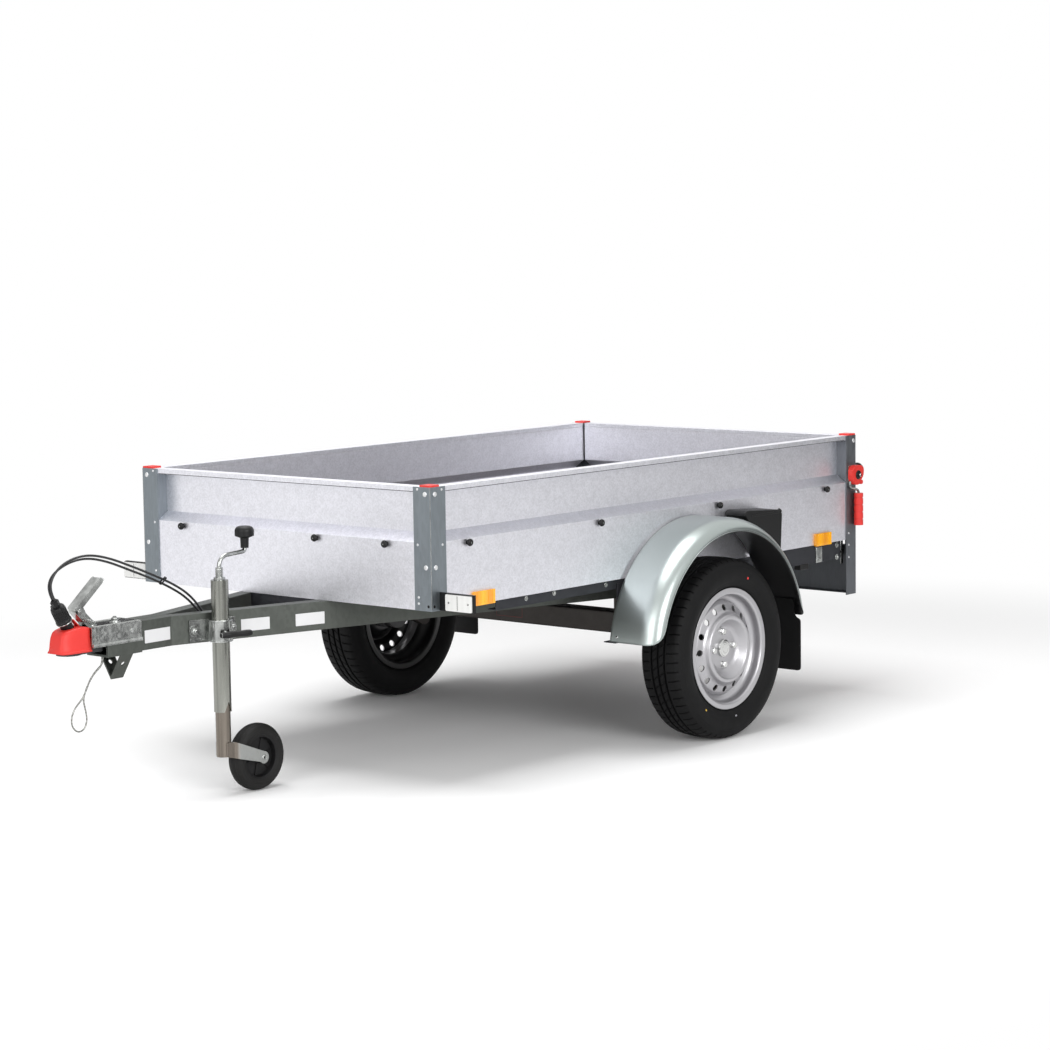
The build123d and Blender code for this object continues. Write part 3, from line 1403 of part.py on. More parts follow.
LEAD_R = 3.2
ROPE_R = 2.0
LEAD_OUTER = [
    (1470, 4, 590), (1485.46, 4, 618), (1476, 5, 652), (1446, 6, 679), (1400, 7, 695),
    (1345, 8, 697), (1280, 9, 681), (1210, 10, 654), (1140, 11, 625), (1072, 12, 595),
    (1012, 13, 561), (972, 16, 522), (936, 18, 470), (888, 18, 470),
]
LEAD_INNER = [
    (1470, -4, 590), (1484.35, -4, 616), (1477, -3, 648), (1446, -2, 671), (1400, -1, 686),
    (1346, 0, 688), (1282, 1, 672), (1212, 2, 644), (1140, 3, 615), (1072, 4, 584),
    (1012, 5, 550), (970, 8, 510), (934, 10, 462), (888, 10, 462),
]
SAFETY_CABLE = [
    (1318, 9, 423), (1318, 9, 400), (1332, 0, 384), (1340, -16, 362), (1343, -27, 336),
    (1354, -32, 310), (1378, -36, 288), (1392, -36, 264), (1391, -36, 238), (1371, -36, 220),
    (1347, -36, 226), (1337, -36, 250), (1342, -37, 280), (1348, -38, 306), (1338, -35, 334),
    (1332, -25, 358), (1322, -16, 380), (1298, -9, 400), (1298, -9, 423),
]
CORDS = (
    ("lead_outer", LEAD_OUTER, LEAD_R),
    ("lead_inner", LEAD_INNER, LEAD_R),
    ("safety_cable", SAFETY_CABLE, ROPE_R),
)
for name, points, radius in CORDS:
    tube, length, radii = bent_rod(points, radius)
    with BuildPart() as cord:
        add(tube)
    finish(cord, name)
    share = cord.part.volume / (pi * radius**2 * length)
    print(f"{name}: {length:.0f} mm, tightest {min(radii):.0f} mm, volume share {share:.3f}")
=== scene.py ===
"""Finishes, fittings and cords of the flat-bed utility trailer, laid out as a Blender add-on.

Lengths in the tables are millimetres in the trailer's own frame: +X to the coupling, +Y to the
left, +Z up, floor at Z = 0. Meshes are drawn in millimetres and scaled once, in `place`.
"""
from math import cos, hypot, pi, radians, sin, sqrt

import bmesh
import bpy
from bpy.props import FloatProperty, FloatVectorProperty, IntProperty, PointerProperty
from mathutils import Matrix, Vector


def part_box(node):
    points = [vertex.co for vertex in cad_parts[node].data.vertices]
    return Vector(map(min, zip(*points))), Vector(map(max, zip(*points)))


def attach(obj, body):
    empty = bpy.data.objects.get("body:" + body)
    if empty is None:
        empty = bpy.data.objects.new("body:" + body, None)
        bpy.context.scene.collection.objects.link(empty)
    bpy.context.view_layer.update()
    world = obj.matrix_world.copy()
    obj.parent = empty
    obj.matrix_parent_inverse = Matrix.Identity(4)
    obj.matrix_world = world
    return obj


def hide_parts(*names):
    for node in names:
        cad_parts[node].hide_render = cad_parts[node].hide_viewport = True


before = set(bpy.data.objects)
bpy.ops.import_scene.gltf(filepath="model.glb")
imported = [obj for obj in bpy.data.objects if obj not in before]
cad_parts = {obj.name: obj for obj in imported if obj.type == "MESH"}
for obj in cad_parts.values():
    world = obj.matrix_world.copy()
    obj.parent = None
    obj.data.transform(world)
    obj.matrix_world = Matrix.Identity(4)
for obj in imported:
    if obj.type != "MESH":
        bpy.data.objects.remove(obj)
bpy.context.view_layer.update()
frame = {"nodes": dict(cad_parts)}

bl_info = {
    "name": "Utility Trailer Finishes",
    "version": (1, 0, 0),
    "blender": (4, 5, 0),
    "location": "3D View > Sidebar > Trailer",
    "description": "Finishes, tread, fasteners, lamps and cords of the flat-bed utility trailer",
    "category": "Object",
}

MM = 0.001
SIDES = (("left", 1), ("right", -1))
AXLE_X = -520.0
WHEEL_R = 272.0                 # also the height of the axle
RIM_FACE_Y = 723.0              # outer edge of the rim
WHEEL_Y = RIM_FACE_Y - 63.0     # middle plane of the tyre
BEAM_REAR = (-425.0, 480.0)     # x and y of the left drawbar beam's outer face
BEAM_BEND = (1095.0, 39.0)


# ---------------------------------------------------------------- colours and settings
def linear(hex_colour):
    """Linear colour with full alpha from an sRGB hex value."""
    parts = [int(hex_colour[i:i + 2], 16) / 255 for i in (0, 2, 4)]
    return tuple(
        p / 12.92 if p <= 0.04045 else ((p + 0.055) / 1.055) ** 2.4 for p in parts
    ) + (1.0,)


def tint(name, description, hex_colour):
    """Colour setting of a finish."""
    return FloatVectorProperty(
        name=name, description=description, subtype="COLOR", size=4, min=0.0, max=1.0,
        default=linear(hex_colour),
    )


def length(name, description, millimetres):
    """Length setting of a fitting."""
    return FloatProperty(
        name=name, description=description, unit="LENGTH", subtype="DISTANCE", min=0.0,
        default=millimetres * MM,
    )


class TrailerColours(bpy.types.PropertyGroup):
    """Colours of the trailer's finishes."""

    sheet: tint("Panels", "Galvanised sheet of the box walls", "e6e6ec")
    post: tint("Front posts", "Rolled galvanised steel of the front posts", "868d92")
    # painted shade: the rear posts and skirt take a darker copy of the front posts' tone
    rear_post_shaded: tint("Rear posts", "Rolled galvanised steel of the rear posts and rails", "717478")
    frame: tint("Frame", "Galvanised rails under the floor", "45464a")
    drawbar: tint("Drawbar", "Hot-dip galvanised drawbar beams", "5b5e5a")
    axle: tint("Axle", "Galvanised axle beam", "4b4846")
    zinc: tint("Zinc plate", "Bright zinc on the coupling, clamp and fasteners", "a6a8a6")
    bright: tint("Bright plate", "Wheel bolts and caps", "cfd0ce")
    rivet: tint("Rivets", "Aluminium heads of the blind rivets", "e9e9ea")
    tube: tint("Jockey tube", "Zinc plate on the drawn jockey tube", "8c8d87")
    leg: tint("Jockey leg", "Zinc plate on the jockey wheel's leg and fork", "766f67")
    cast: tint("Ball socket", "Cast iron of the ball socket", "2b2b2d")
    fender: tint("Fenders", "Pressed galvanised steel of the fenders", "a9b1af")
    red: tint("Red plastic", "Grips, nose and post caps", "d52d26")
    # also the painted shade on the sheet's shoulder, the fenders' inner side and the rims' inboard
    # side
    black: tint("Black plastic", "Knobs, holders and plug", "0b0b0c")
    white_lens: tint("White lens", "Front marker lamps", "dededc")
    red_lens: tint("Red lens", "Tail and brake lamps", "b3131a")
    amber: tint("Amber lens", "Side reflectors and turn lamps", "ffa60f")
    label: tint("Labels", "Blank labels and number plate", "d2d2d3")
    plywood: tint("Floor film", "Film-faced plywood floor", "4a4648")
    rim: tint("Rims", "Silver paint on the pressed rims", "b3b2b5")
    rubber: tint("Tyres", "Road tyre rubber", "070708")
    jockey_rubber: tint("Jockey tyre", "Solid rubber of the jockey wheel", "0b0a09")
    cable: tint("Leads", "Sheath of the two leads", "101012")
    rope: tint("Steel rope", "Zinc coated wire of the safety cable", "9b9b97")
    brass: tint("Nut", "Brass nut on the jockey screw", "b59a55")
    card: tint("Studio card", "Grey card that the metal reflects", "38383a")
    floor: tint("Studio floor", "Floor the trailer stands on", "ffffff")


class TrailerSizes(bpy.types.PropertyGroup):
    """Sizes of the fittings that the CAD solids leave out."""

    tread_pitches: IntProperty(
        name="Tread pitches", description="Sipes round one tyre", default=60, min=20, max=90
    )
    tread_depth: length("Tread depth", "Depth of the grooves round the tyre", 7.4)
    sipe_depth: length("Sipe depth", "Depth of the slots across the ribs", 5.0)
    lead: length("Lead", "Outer diameter of one lead", 6.4)
    rope: length("Safety cable", "Diameter of the steel rope", 4.6)
    wheel_bolt: length("Wheel bolt", "Width across the wheel bolts' flats", 17.0)
    bolt_circle: length("Bolt circle", "Diameter of the wheel bolts' circle", 100.0)
    post_rivet: length("Post rivet", "Head diameter of the large rivets", 14.0)
    small_rivet: length("Small rivet", "Head diameter of the small rivets", 7.0)
    spangle: length("Spangle", "Zinc crystals on the sheet", 4.5)


def colours():
    """The scene's finish colours."""
    return bpy.context.scene.trailer_colours


def sizes():
    """The scene's fitting sizes."""
    return bpy.context.scene.trailer_sizes


# ---------------------------------------------------------------- drawing helpers
TINY = 1e-6
EDGE_SHARE = 0.48               # the most that a rounded corner takes of an edge
MITRE_LIMIT = 0.35              # keeps a sharp corner from running far in
WASHER_T = 0.12                 # shares of a bolt's width across flats
WASHER_R = 0.92
BOLT_CHAMFER = 0.16             # share of the head's height


def lay(origin, normal, x_dir=None):
    """Matrix that lays a drawing on a face: its third axis is the face's normal."""
    up = Vector(normal).normalized()
    if x_dir:
        across = Vector(x_dir)
    else:
        across = Vector((0, 0, 1) if abs(up.z) < 0.9 else (1, 0, 0)).cross(up)
    across = (across - up * across.dot(up)).normalized()
    turn = Matrix((across, up.cross(across), up)).transposed().to_4x4()
    return Matrix.Translation(origin) @ turn


def outward(x, y, z, side, x_dir=None):
    """`lay` on a face that looks out to one side of the trailer, `y` mm from its middle."""
    return lay((x, side * y, z), (0, side, 0), x_dir)


def circle(radius, steps):
    """Points round the origin."""
    return [
        (radius * cos(2 * pi * i / steps), radius * sin(2 * pi * i / steps)) for i in range(steps)
    ]


def hexagon(across_flats):
    """Hexagon about the origin."""
    return circle(across_flats / sqrt(3), 6)


def rounded(points, radius, steps=4):
    """Outline with its corners softened by `radius`."""
    soft = []
    count = len(points)
    for i, here in enumerate(points):
        here = Vector(here)
        before, after = Vector(points[i - 1]) - here, Vector(points[(i + 1) % count]) - here
        cut = min(radius, before.length * EDGE_SHARE, after.length * EDGE_SHARE)
        start, end = here + before.normalized() * cut, here + after.normalized() * cut
        for k in range(steps + 1):
            t = k / steps
            soft.append(tuple((1 - t) ** 2 * start + 2 * t * (1 - t) * here + t ** 2 * end))
    return soft


def oblong(width, height, corner=0.0, steps=4):
    """Rounded rectangle about the origin."""
    x, y = width / 2, height / 2
    points = [(-x, -y), (x, -y), (x, y), (-x, y)]
    return rounded(points, corner, steps) if corner else points


def drawn_in(points, by):
    """The outline moved inward by `by`."""
    count = len(points)
    made = []
    for i, here in enumerate(points):
        here = Vector(here)
        along = [(here - Vector(points[i - 1])), (Vector(points[(i + 1) % count]) - here)]
        along = [v.normalized() for v in along if v.length > TINY] or [Vector((1, 0))]
        normal = sum((Vector((-v.y, v.x)) for v in along), Vector((0, 0)))
        normal.normalize()
        share = max(MITRE_LIMIT, normal.dot(Vector((-along[0].y, along[0].x))))
        made.append(tuple(here + normal * (by / share)))
    return made


def ring_at(bm, at, points, height):
    """Ring of mesh points: an outline at a height along the third axis of `at`."""
    return [bm.verts.new(at @ Vector((x, y, height))) for x, y in points]


def bridge(bm, low, high):
    """Faces between two rings of points; a ring of one point closes to a tip."""
    for i in range(max(len(low), len(high))):
        corners = (
            low[i % len(low)], low[(i + 1) % len(low)],
            high[(i + 1) % len(high)], high[i % len(high)],
        )
        corners = list(dict.fromkeys(corners))
        if len(corners) > 2:
            bm.faces.new(corners)


def bridge_all(bm, rings):
    """Faces between each ring and the next."""
    for low, high in zip(rings, rings[1:]):
        bridge(bm, low, high)


def turned(bm, profile, at, steps=20):
    """Turned part: (radius, height) points revolved about the third axis of `at`."""
    bridge_all(bm, [
        ring_at(bm, at, circle(radius, steps if radius > TINY else 1), height)
        for radius, height in profile
    ])


def slab(bm, points, at, top, edge=0.0, base=0.0):
    """Plate: a closed outline raised along the third axis of `at`, its upper edge broken."""
    levels = [(points, base), (points, top - edge)]
    if edge:
        levels.append((drawn_in(points, edge), top))
    rings = [ring_at(bm, at, ring, z) for ring, z in levels]
    bridge_all(bm, rings)
    bm.faces.new(rings[-1])
    bm.faces.new(rings[0][::-1])


def rod(bm, points, radius, steps=10):
    """Round wire along a line of points."""
    points = [Vector(p) for p in points]
    rings = []
    across = None
    for i, here in enumerate(points):
        way = (points[min(i + 1, len(points) - 1)] - points[max(i - 1, 0)]).normalized()
        if across is None:
            across = way.orthogonal().normalized()
        across = (across - way * across.dot(way)).normalized()
        other = way.cross(across)
        rings.append([
            bm.verts.new(here + radius * (across * x + other * y)) for x, y in circle(1.0, steps)
        ])
    bridge_all(bm, rings)
    bm.faces.new(rings[0][::-1])
    bm.faces.new(rings[-1])


def place(name, bm, finish, body="chassis", replaces=(), sharp=35.0):
    """Finish a mesh drawn in millimetres: scale it, name it, paint it and set it riding."""
    bmesh.ops.scale(bm, vec=(MM, MM, MM), verts=bm.verts)
    bmesh.ops.recalc_face_normals(bm, faces=bm.faces)
    mesh = bpy.data.meshes.new(name)
    bm.to_mesh(mesh)
    bm.free()
    mesh.shade_smooth()
    mesh.set_sharp_from_angle(angle=radians(sharp))
    mesh.materials.append(paint(finish))
    piece = bpy.data.objects.new(name, mesh)
    bpy.context.scene.collection.objects.link(piece)
    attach(piece, body)
    if replaces:
        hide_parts(*replaces)
    return piece


def thicken(piece, millimetres):
    """Give a skin its wall, inward."""
    wall = piece.modifiers.new("Wall", "SOLIDIFY")
    wall.thickness = millimetres * MM
    wall.offset = -1.0


def rivet_head(diameter, height):
    """Profile of a domed head."""
    r = diameter / 2
    return [
        (r, 0), (r, height * 0.35), (r * 0.93, height * 0.75), (r * 0.6, height * 0.96),
        (0, height),
    ]


def bolt(bm, at, across_flats, height):
    """Hexagon bolt head on its washer."""
    rise, r = across_flats * WASHER_T, across_flats * WASHER_R
    turned(bm, [(r, 0), (r, rise * 0.7), (r - 0.4, rise), (0, rise)], at)
    edge = height * BOLT_CHAMFER
    slab(bm, hexagon(across_flats), at, top=rise + height, edge=edge, base=rise)


def beam_y(x):
    """Outer face of the left drawbar beam."""
    if x >= BEAM_BEND[0]:
        return BEAM_BEND[1]
    share = (x - BEAM_REAR[0]) / (BEAM_BEND[0] - BEAM_REAR[0])
    return BEAM_REAR[1] + share * (BEAM_BEND[1] - BEAM_REAR[1])


BEAM_WAY = Vector((BEAM_BEND[0] - BEAM_REAR[0], BEAM_BEND[1] - BEAM_REAR[1], 0)).normalized()
BEAM_OUT = Vector((-BEAM_WAY.y, BEAM_WAY.x, 0))


# ---------------------------------------------------------------- materials
def put(tree, kind, links=None, **settings):
    """Add a node: its settings, then for each socket a value or another node's output."""
    made = tree.nodes.new(kind)
    for name, value in settings.items():
        setattr(made, name, value)
    for socket, value in (links or {}).items():
        if isinstance(value, bpy.types.NodeSocket):
            tree.links.new(value, made.inputs[socket])
        else:
            made.inputs[socket].default_value = value
    return made


def surface(name, roughness, metallic=0.0, **sockets):
    """New material with the uniform values of its shader."""
    material = bpy.data.materials.new(name)
    material.use_nodes = True
    body = material.node_tree.nodes["Principled BSDF"]
    body.inputs["Roughness"].default_value = roughness
    body.inputs["Metallic"].default_value = metallic
    for socket, value in sockets.items():
        label = socket.replace("_", " ").title().replace("Ior", "IOR")
        body.inputs[label].default_value = value
    return material, material.node_tree, body


def shade(colour, factor):
    """The colour made lighter or darker."""
    return tuple(min(1.0, c * factor) for c in colour[:3]) + (1.0,)


def per(millimetres):
    """Texture scale of a pattern of that size."""
    return 1000.0 / millimetres


BLOOM = (0.35, 0.65)            # part of the bloom's noise that shows in the tone
BLOOM_SIZE = 5                  # how much larger than a crystal its clouds are


def zinc_coat(
    name, colour, roughness, spangle, contrast, streak=0.0, edge=1.0, relief=0.05, facets=0.8
):
    """Zinc on steel: crystals of `spangle` mm, each turned its own way, under a faint cloudy bloom.

    `facets` is the crystals' share in the tone; plated steel has none. `streak` draws them out
    along the height. Without an `edge` the surface has no relief.
    """
    material, tree, body = surface(name, roughness, 1.0)
    where = put(tree, "ShaderNodeTexCoord").outputs["Object"]
    stretch = put(tree, "ShaderNodeMapping", {"Vector": where, "Scale": (1.0, 1.0, 1.0 - streak)})
    crystals = put(
        tree, "ShaderNodeTexVoronoi", {"Vector": stretch.outputs[0], "Scale": per(spangle)}
    )
    turn = put(tree, "ShaderNodeSeparateColor", {"Color": crystals.outputs["Color"]}).outputs["Red"]
    bloom = put(
        tree, "ShaderNodeTexNoise",
        {"Vector": stretch.outputs[0], "Scale": per(spangle * BLOOM_SIZE), "Detail": 5.0},
    ).outputs["Fac"]
    both = put(
        tree, "ShaderNodeMath", {0: turn, 1: facets, 2: bloom}, operation="MULTIPLY_ADD"
    ).outputs[0]
    grade = put(
        tree, "ShaderNodeMapRange",
        {"Value": both, "From Min": BLOOM[0], "From Max": BLOOM[1] + facets},
    ).outputs[0]
    mixed = put(
        tree, "ShaderNodeMix",
        {0: grade, 6: shade(colour, 1 - contrast), 7: shade(colour, 1 + contrast)},
        data_type="RGBA",
    )
    tree.links.new(mixed.outputs[2], body.inputs["Base Color"])
    gloss = put(
        tree, "ShaderNodeMapRange",
        {"Value": turn, "To Min": roughness * (1 - contrast), "To Max": roughness * (1 + contrast)},
    )
    tree.links.new(gloss.outputs[0], body.inputs["Roughness"])
    if edge:
        soft = put(tree, "ShaderNodeBevel", {"Radius": edge * MM}, samples=4)
        bump = put(
            tree, "ShaderNodeBump",
            {"Height": both, "Strength": 0.3, "Distance": relief * MM, "Normal": soft.outputs[0]},
        )
        tree.links.new(bump.outputs[0], body.inputs["Normal"])
    return material


SHOULDER_TILT = (0.2, 0.3)      # from flat wall to drawn shoulder: sideways times upward slope
SHOULDER_PAINTED_SHADE = 0.22            # share of painted shade in the shoulder's tone


def galvanised_sheet():
    """Hot-dip galvanised sheet: fine, quiet mottle and soft sheen; its drawn shoulder is darkened
    as painted shade.
    """
    material = zinc_coat(
        "Hot-dip galvanised sheet", colours().sheet, 0.42, sizes().spangle / MM, 0.09, edge=2.0
    )
    tree, body = material.node_tree, material.node_tree.nodes["Principled BSDF"]
    facing = put(
        tree, "ShaderNodeSeparateXYZ", {0: put(tree, "ShaderNodeTexCoord").outputs["Normal"]}
    )
    sideways = put(tree, "ShaderNodeMath", {0: facing.outputs[1]}, operation="ABSOLUTE").outputs[0]
    tilt = put(
        tree, "ShaderNodeMath", {0: sideways, 1: facing.outputs[2]}, operation="MULTIPLY"
    ).outputs[0]
    drawn = put(
        tree, "ShaderNodeMapRange",
        {"Value": tilt, "From Min": SHOULDER_TILT[0], "From Max": SHOULDER_TILT[1]},
    ).outputs[0]
    # painted shade: the shoulder's faces that slope up and out take this share of black
    dull = put(
        tree, "ShaderNodeMath", {0: drawn, 1: SHOULDER_PAINTED_SHADE}, operation="MULTIPLY"
    ).outputs[0]
    zinc = body.inputs["Base Color"].links[0].from_socket
    mixed = put(tree, "ShaderNodeMix", {0: dull, 6: zinc, 7: colours().black}, data_type="RGBA")
    tree.links.new(mixed.outputs[2], body.inputs["Base Color"])
    return material


def rolled_post():
    """Rolled galvanised strip: darker than the sheet, with lines of the rolling along it."""
    return zinc_coat("Rolled galvanised post", colours().post, 0.45, 5.0, 0.09, streak=0.8)


def shaded_rear_post():
    """The same strip, darker at the rear as painted shade."""
    return zinc_coat(
        "Shaded galvanised post", colours().rear_post_shaded, 0.5, 5.0, 0.12, streak=0.8
    )


def frame_rail():
    """Batch galvanised rail: dull, dark grey zinc with a coarse bloom."""
    return zinc_coat("Batch galvanised rail", colours().frame, 0.55, 9.0, 0.16)


def drawbar_beam():
    """Batch galvanised beam: matt, faintly green-grey, clouded over a few centimetres."""
    return zinc_coat(
        "Batch galvanised beam", colours().drawbar, 0.5, 8.0, 0.12, streak=0.4, edge=3.0
    )


def axle_tube():
    """Batch galvanised axle: brownish-grey and dull."""
    return zinc_coat("Dull galvanised axle", colours().axle, 0.55, 10.0, 0.18, edge=2.0)


def zinc_plate():
    """Electroplated zinc, blue passivated: bright, with strong clouds drawn out along the height
    that are partly the plating's unevenness and partly painted reflection.
    """
    # painted reflection: the high contrast of the streaked clouds stands in for reflections as well
    # as the plating's own unevenness
    return zinc_coat(
        "Blue passivated zinc plate", colours().zinc, 0.17, 5.0, 0.3,
        streak=0.3, edge=0.7, relief=0.0, facets=0.0,
    )


def plated_tube():
    """Drawn tube, zinc plated: long streaks down the draw."""
    return zinc_coat(
        "Zinc plated drawn tube", colours().tube, 0.24, 2.0, 0.22, streak=0.97, edge=0, facets=0.0
    )


LEG_BACK = 24.0                 # behind the tube's middle, where the brown of the leg ends
ARM_FRONT = 34.0                # and from where the arms are pale


def plated_leg():
    """Drawn tube plated over a brownish passivate, streaked too; its pressed arms stay pale."""
    material = zinc_coat(
        "Yellowed zinc plated tube", colours().leg, 0.32, 2.0, 0.2, streak=0.97, edge=0, facets=0.0
    )
    tree, body = material.node_tree, material.node_tree.nodes["Principled BSDF"]
    along = put(
        tree, "ShaderNodeSeparateXYZ", {0: put(tree, "ShaderNodeTexCoord").outputs["Object"]}
    ).outputs[0]
    leg_end, arm_start = (TUBE_X - LEG_BACK) * MM, (TUBE_X - ARM_FRONT) * MM
    arm = put(
        tree, "ShaderNodeMapRange", {"Value": along, "From Min": leg_end, "From Max": arm_start}
    ).outputs[0]
    brown = body.inputs["Base Color"].links[0].from_socket
    mixed = put(tree, "ShaderNodeMix", {0: arm, 6: brown, 7: colours().zinc}, data_type="RGBA")
    tree.links.new(mixed.outputs[2], body.inputs["Base Color"])
    return material


def rivet_aluminium():
    """Blind rivets of bright aluminium: pale, even and satin."""
    return zinc_coat("Satin aluminium rivet", colours().rivet, 0.4, 2.0, 0.03, edge=0)


def bright_plate():
    """Bright nickel-zinc plate over polished steel: mirror-like, pale and clean."""
    return zinc_coat("Bright plated steel", colours().bright, 0.14, 2.0, 0.02, edge=0)


FENDER_METAL = 0.88             # share of bare metal on the fender's outer side
FENDER_SHADE_FACING = (-0.02, -0.06)      # painted shade, from none to all, by how far a face looks back to the axle


def fender_sheet():
    """Deep-drawn galvanised sheet: stretched smooth, so the zinc shines; black inside, as painted
    shade.
    """
    material = zinc_coat(
        "Deep-drawn galvanised sheet", colours().fender, 0.3, 4.0, 0.012, edge=0
    )
    tree, body = material.node_tree, material.node_tree.nodes["Principled BSDF"]
    spot = put(tree, "ShaderNodeTexCoord")
    from_axle = put(
        tree, "ShaderNodeVectorMath",
        {0: spot.outputs["Object"], 1: (AXLE_X * MM, 0, WHEEL_R * MM)}, operation="SUBTRACT",
    ).outputs[0]
    spoke = put(
        tree, "ShaderNodeVectorMath", {0: from_axle, 1: (1, 0, 1)}, operation="MULTIPLY"
    ).outputs[0]
    outward_share = put(
        tree, "ShaderNodeVectorMath", {0: spoke, 1: spot.outputs["Normal"]},
        operation="DOT_PRODUCT",
    ).outputs["Value"]
    # painted shade: faces inside the fender, looking back to the axle, turn black and lose their
    # metal
    under = put(
        tree, "ShaderNodeMapRange",
        {"Value": outward_share, "From Min": FENDER_SHADE_FACING[0], "From Max": FENDER_SHADE_FACING[1]},
    ).outputs[0]
    zinc = body.inputs["Base Color"].links[0].from_socket
    shade_black = shade(colours().black, 2.0)
    mixed = put(tree, "ShaderNodeMix", {0: under, 6: zinc, 7: shade_black}, data_type="RGBA")
    tree.links.new(mixed.outputs[2], body.inputs["Base Color"])
    bare = put(
        tree, "ShaderNodeMapRange", {"Value": under, "To Min": FENDER_METAL, "To Max": 0.0}
    ).outputs[0]
    tree.links.new(bare, body.inputs["Metallic"])
    return material


ROPE_LAY = 9.5                  # a strand shows at this distance, measured along all three axes


def steel_rope():
    """Zinc coated wire rope: bright strands laid round it, darker between them as painted shade."""
    material, tree, body = surface("Galvanised wire rope", 0.38, 1.0)
    where = put(tree, "ShaderNodeTexCoord").outputs["Object"]
    strands = put(
        tree, "ShaderNodeTexWave",
        {"Vector": where, "Scale": per(ROPE_LAY) * 2 * pi / 10, "Distortion": 0.4},
        bands_direction="DIAGONAL",
    ).outputs["Fac"]
    # painted shade: the rope is darker in the grooves between the strands
    mixed = put(
        tree, "ShaderNodeMix",
        {0: strands, 6: shade(colours().rope, 0.55), 7: shade(colours().rope, 1.15)},
        data_type="RGBA",
    )
    tree.links.new(mixed.outputs[2], body.inputs["Base Color"])
    bump = put(tree, "ShaderNodeBump", {"Height": strands, "Strength": 0.6, "Distance": 0.4 * MM})
    tree.links.new(bump.outputs[0], body.inputs["Normal"])
    return material


CLOUD = 35.0                    # size of the clouds in a moulding's tone and gloss
GLOSS_SPREAD = 0.15
GRAIN_DEPTH = 0.3


def moulded(name, colour, roughness, grain, relief, ior=1.5, edge=0.8, scuff=0.06, **sockets):
    """Moulded or cast surface: an even colour, a grain of `grain` mm and a faint uneven gloss."""
    material, tree, body = surface(name, roughness, ior=ior, **sockets)
    where = put(tree, "ShaderNodeTexCoord").outputs["Object"]
    cloud = put(
        tree, "ShaderNodeTexNoise", {"Vector": where, "Scale": per(CLOUD), "Detail": 4.0}
    ).outputs["Fac"]
    mixed = put(
        tree, "ShaderNodeMix",
        {0: cloud, 6: shade(colour, 1 - scuff), 7: shade(colour, 1 + scuff)}, data_type="RGBA",
    )
    tree.links.new(mixed.outputs[2], body.inputs["Base Color"])
    dull, keen = roughness * (1 + GLOSS_SPREAD), roughness * (1 - GLOSS_SPREAD)
    gloss = put(tree, "ShaderNodeMapRange", {"Value": cloud, "To Min": keen, "To Max": dull})
    tree.links.new(gloss.outputs[0], body.inputs["Roughness"])
    pits = put(
        tree, "ShaderNodeTexNoise", {"Vector": where, "Scale": per(grain), "Detail": 2.0}
    ).outputs["Fac"]
    soft = put(tree, "ShaderNodeBevel", {"Radius": edge * MM}, samples=4)
    bump = put(
        tree, "ShaderNodeBump",
        {
            "Height": pits, "Strength": relief, "Distance": GRAIN_DEPTH * MM,
            "Normal": soft.outputs[0],
        },
    )
    tree.links.new(bump.outputs[0], body.inputs["Normal"])
    return material


def cast_iron():
    """Sand-cast iron, dipped black: pitted at the size of the sand."""
    return moulded("Dipped cast iron", colours().cast, 0.6, 1.2, 0.5, edge=2.0)


def red_polypropylene():
    """Moulded polypropylene, dyed through: satin, with a fine spark-eroded grain."""
    return moulded("Moulded red polypropylene", colours().red, 0.42, 1.0, 0.12, ior=1.49)


def red_rubber():
    """Moulded EPDM cap, dyed through: soft sheen and rounded edges."""
    return moulded("Moulded red EPDM", colours().red, 0.48, 1.5, 0.1, edge=2.0)


def black_polypropylene():
    """Moulded black polypropylene: its 1 mm grain is drawn coarse enough to show."""
    return moulded(
        "Moulded black polypropylene", colours().black, 0.42, 1.0, 0.2,
        ior=1.49, scuff=0.2, specular_ior_level=0.3,
    )


def jockey_hub_plastic():
    """Moulded black nylon hub: dull, slightly dusty."""
    return moulded(
        "Moulded black nylon", colours().black, 0.5, 1.0, 0.15,
        ior=1.53, scuff=0.3, specular_ior_level=0.25,
    )


def lens(name, colour, pitch, direction, contrast=0.1):
    """Moulded acrylic lens: a clear gloss over soft ribs, `pitch` mm apart, that catch light."""
    material, tree, body = surface(name, 0.12, ior=1.49, coat_weight=0.6, coat_roughness=0.05)
    where = put(tree, "ShaderNodeTexCoord").outputs["Object"]
    ribs = put(
        tree, "ShaderNodeTexWave", {"Vector": where, "Scale": per(pitch) * 2 * pi / 20},
        bands_direction=direction,
    ).outputs["Fac"]
    mixed = put(
        tree, "ShaderNodeMix",
        {0: ribs, 6: shade(colour, 1 - contrast), 7: shade(colour, 1 + contrast)},
        data_type="RGBA",
    )
    tree.links.new(mixed.outputs[2], body.inputs["Base Color"])
    bump = put(
        tree, "ShaderNodeBump", {"Height": ribs, "Strength": 0.2, "Distance": contrast * 2 * MM}
    )
    tree.links.new(bump.outputs[0], body.inputs["Normal"])
    return material


def white_acrylic():
    """Clear acrylic over a white reflector: broad upright ribs that hardly show."""
    return lens("Clear ribbed acrylic", colours().white_lens, 18.85, "Y", 0.02)


def red_acrylic():
    """Red acrylic of the tail lamps: broad upright ribs."""
    return lens("Red ribbed acrylic", colours().red_lens, 25.13, "Y")


def amber_acrylic():
    """Amber acrylic of the side reflectors: one broad upright rib on each."""
    return lens("Amber prism acrylic", colours().amber, 56.55, "X", 0.2)


def label_film():
    """Blank polyester label: smooth, slightly glossy and faintly uneven."""
    return moulded("Blank polyester label", colours().label, 0.35, 2.0, 0.03, ior=1.57, scuff=0.04)


FILM_MESH = 12.0                # the print's rows stand a quarter of this apart
FILM_CLOUD = 160.0


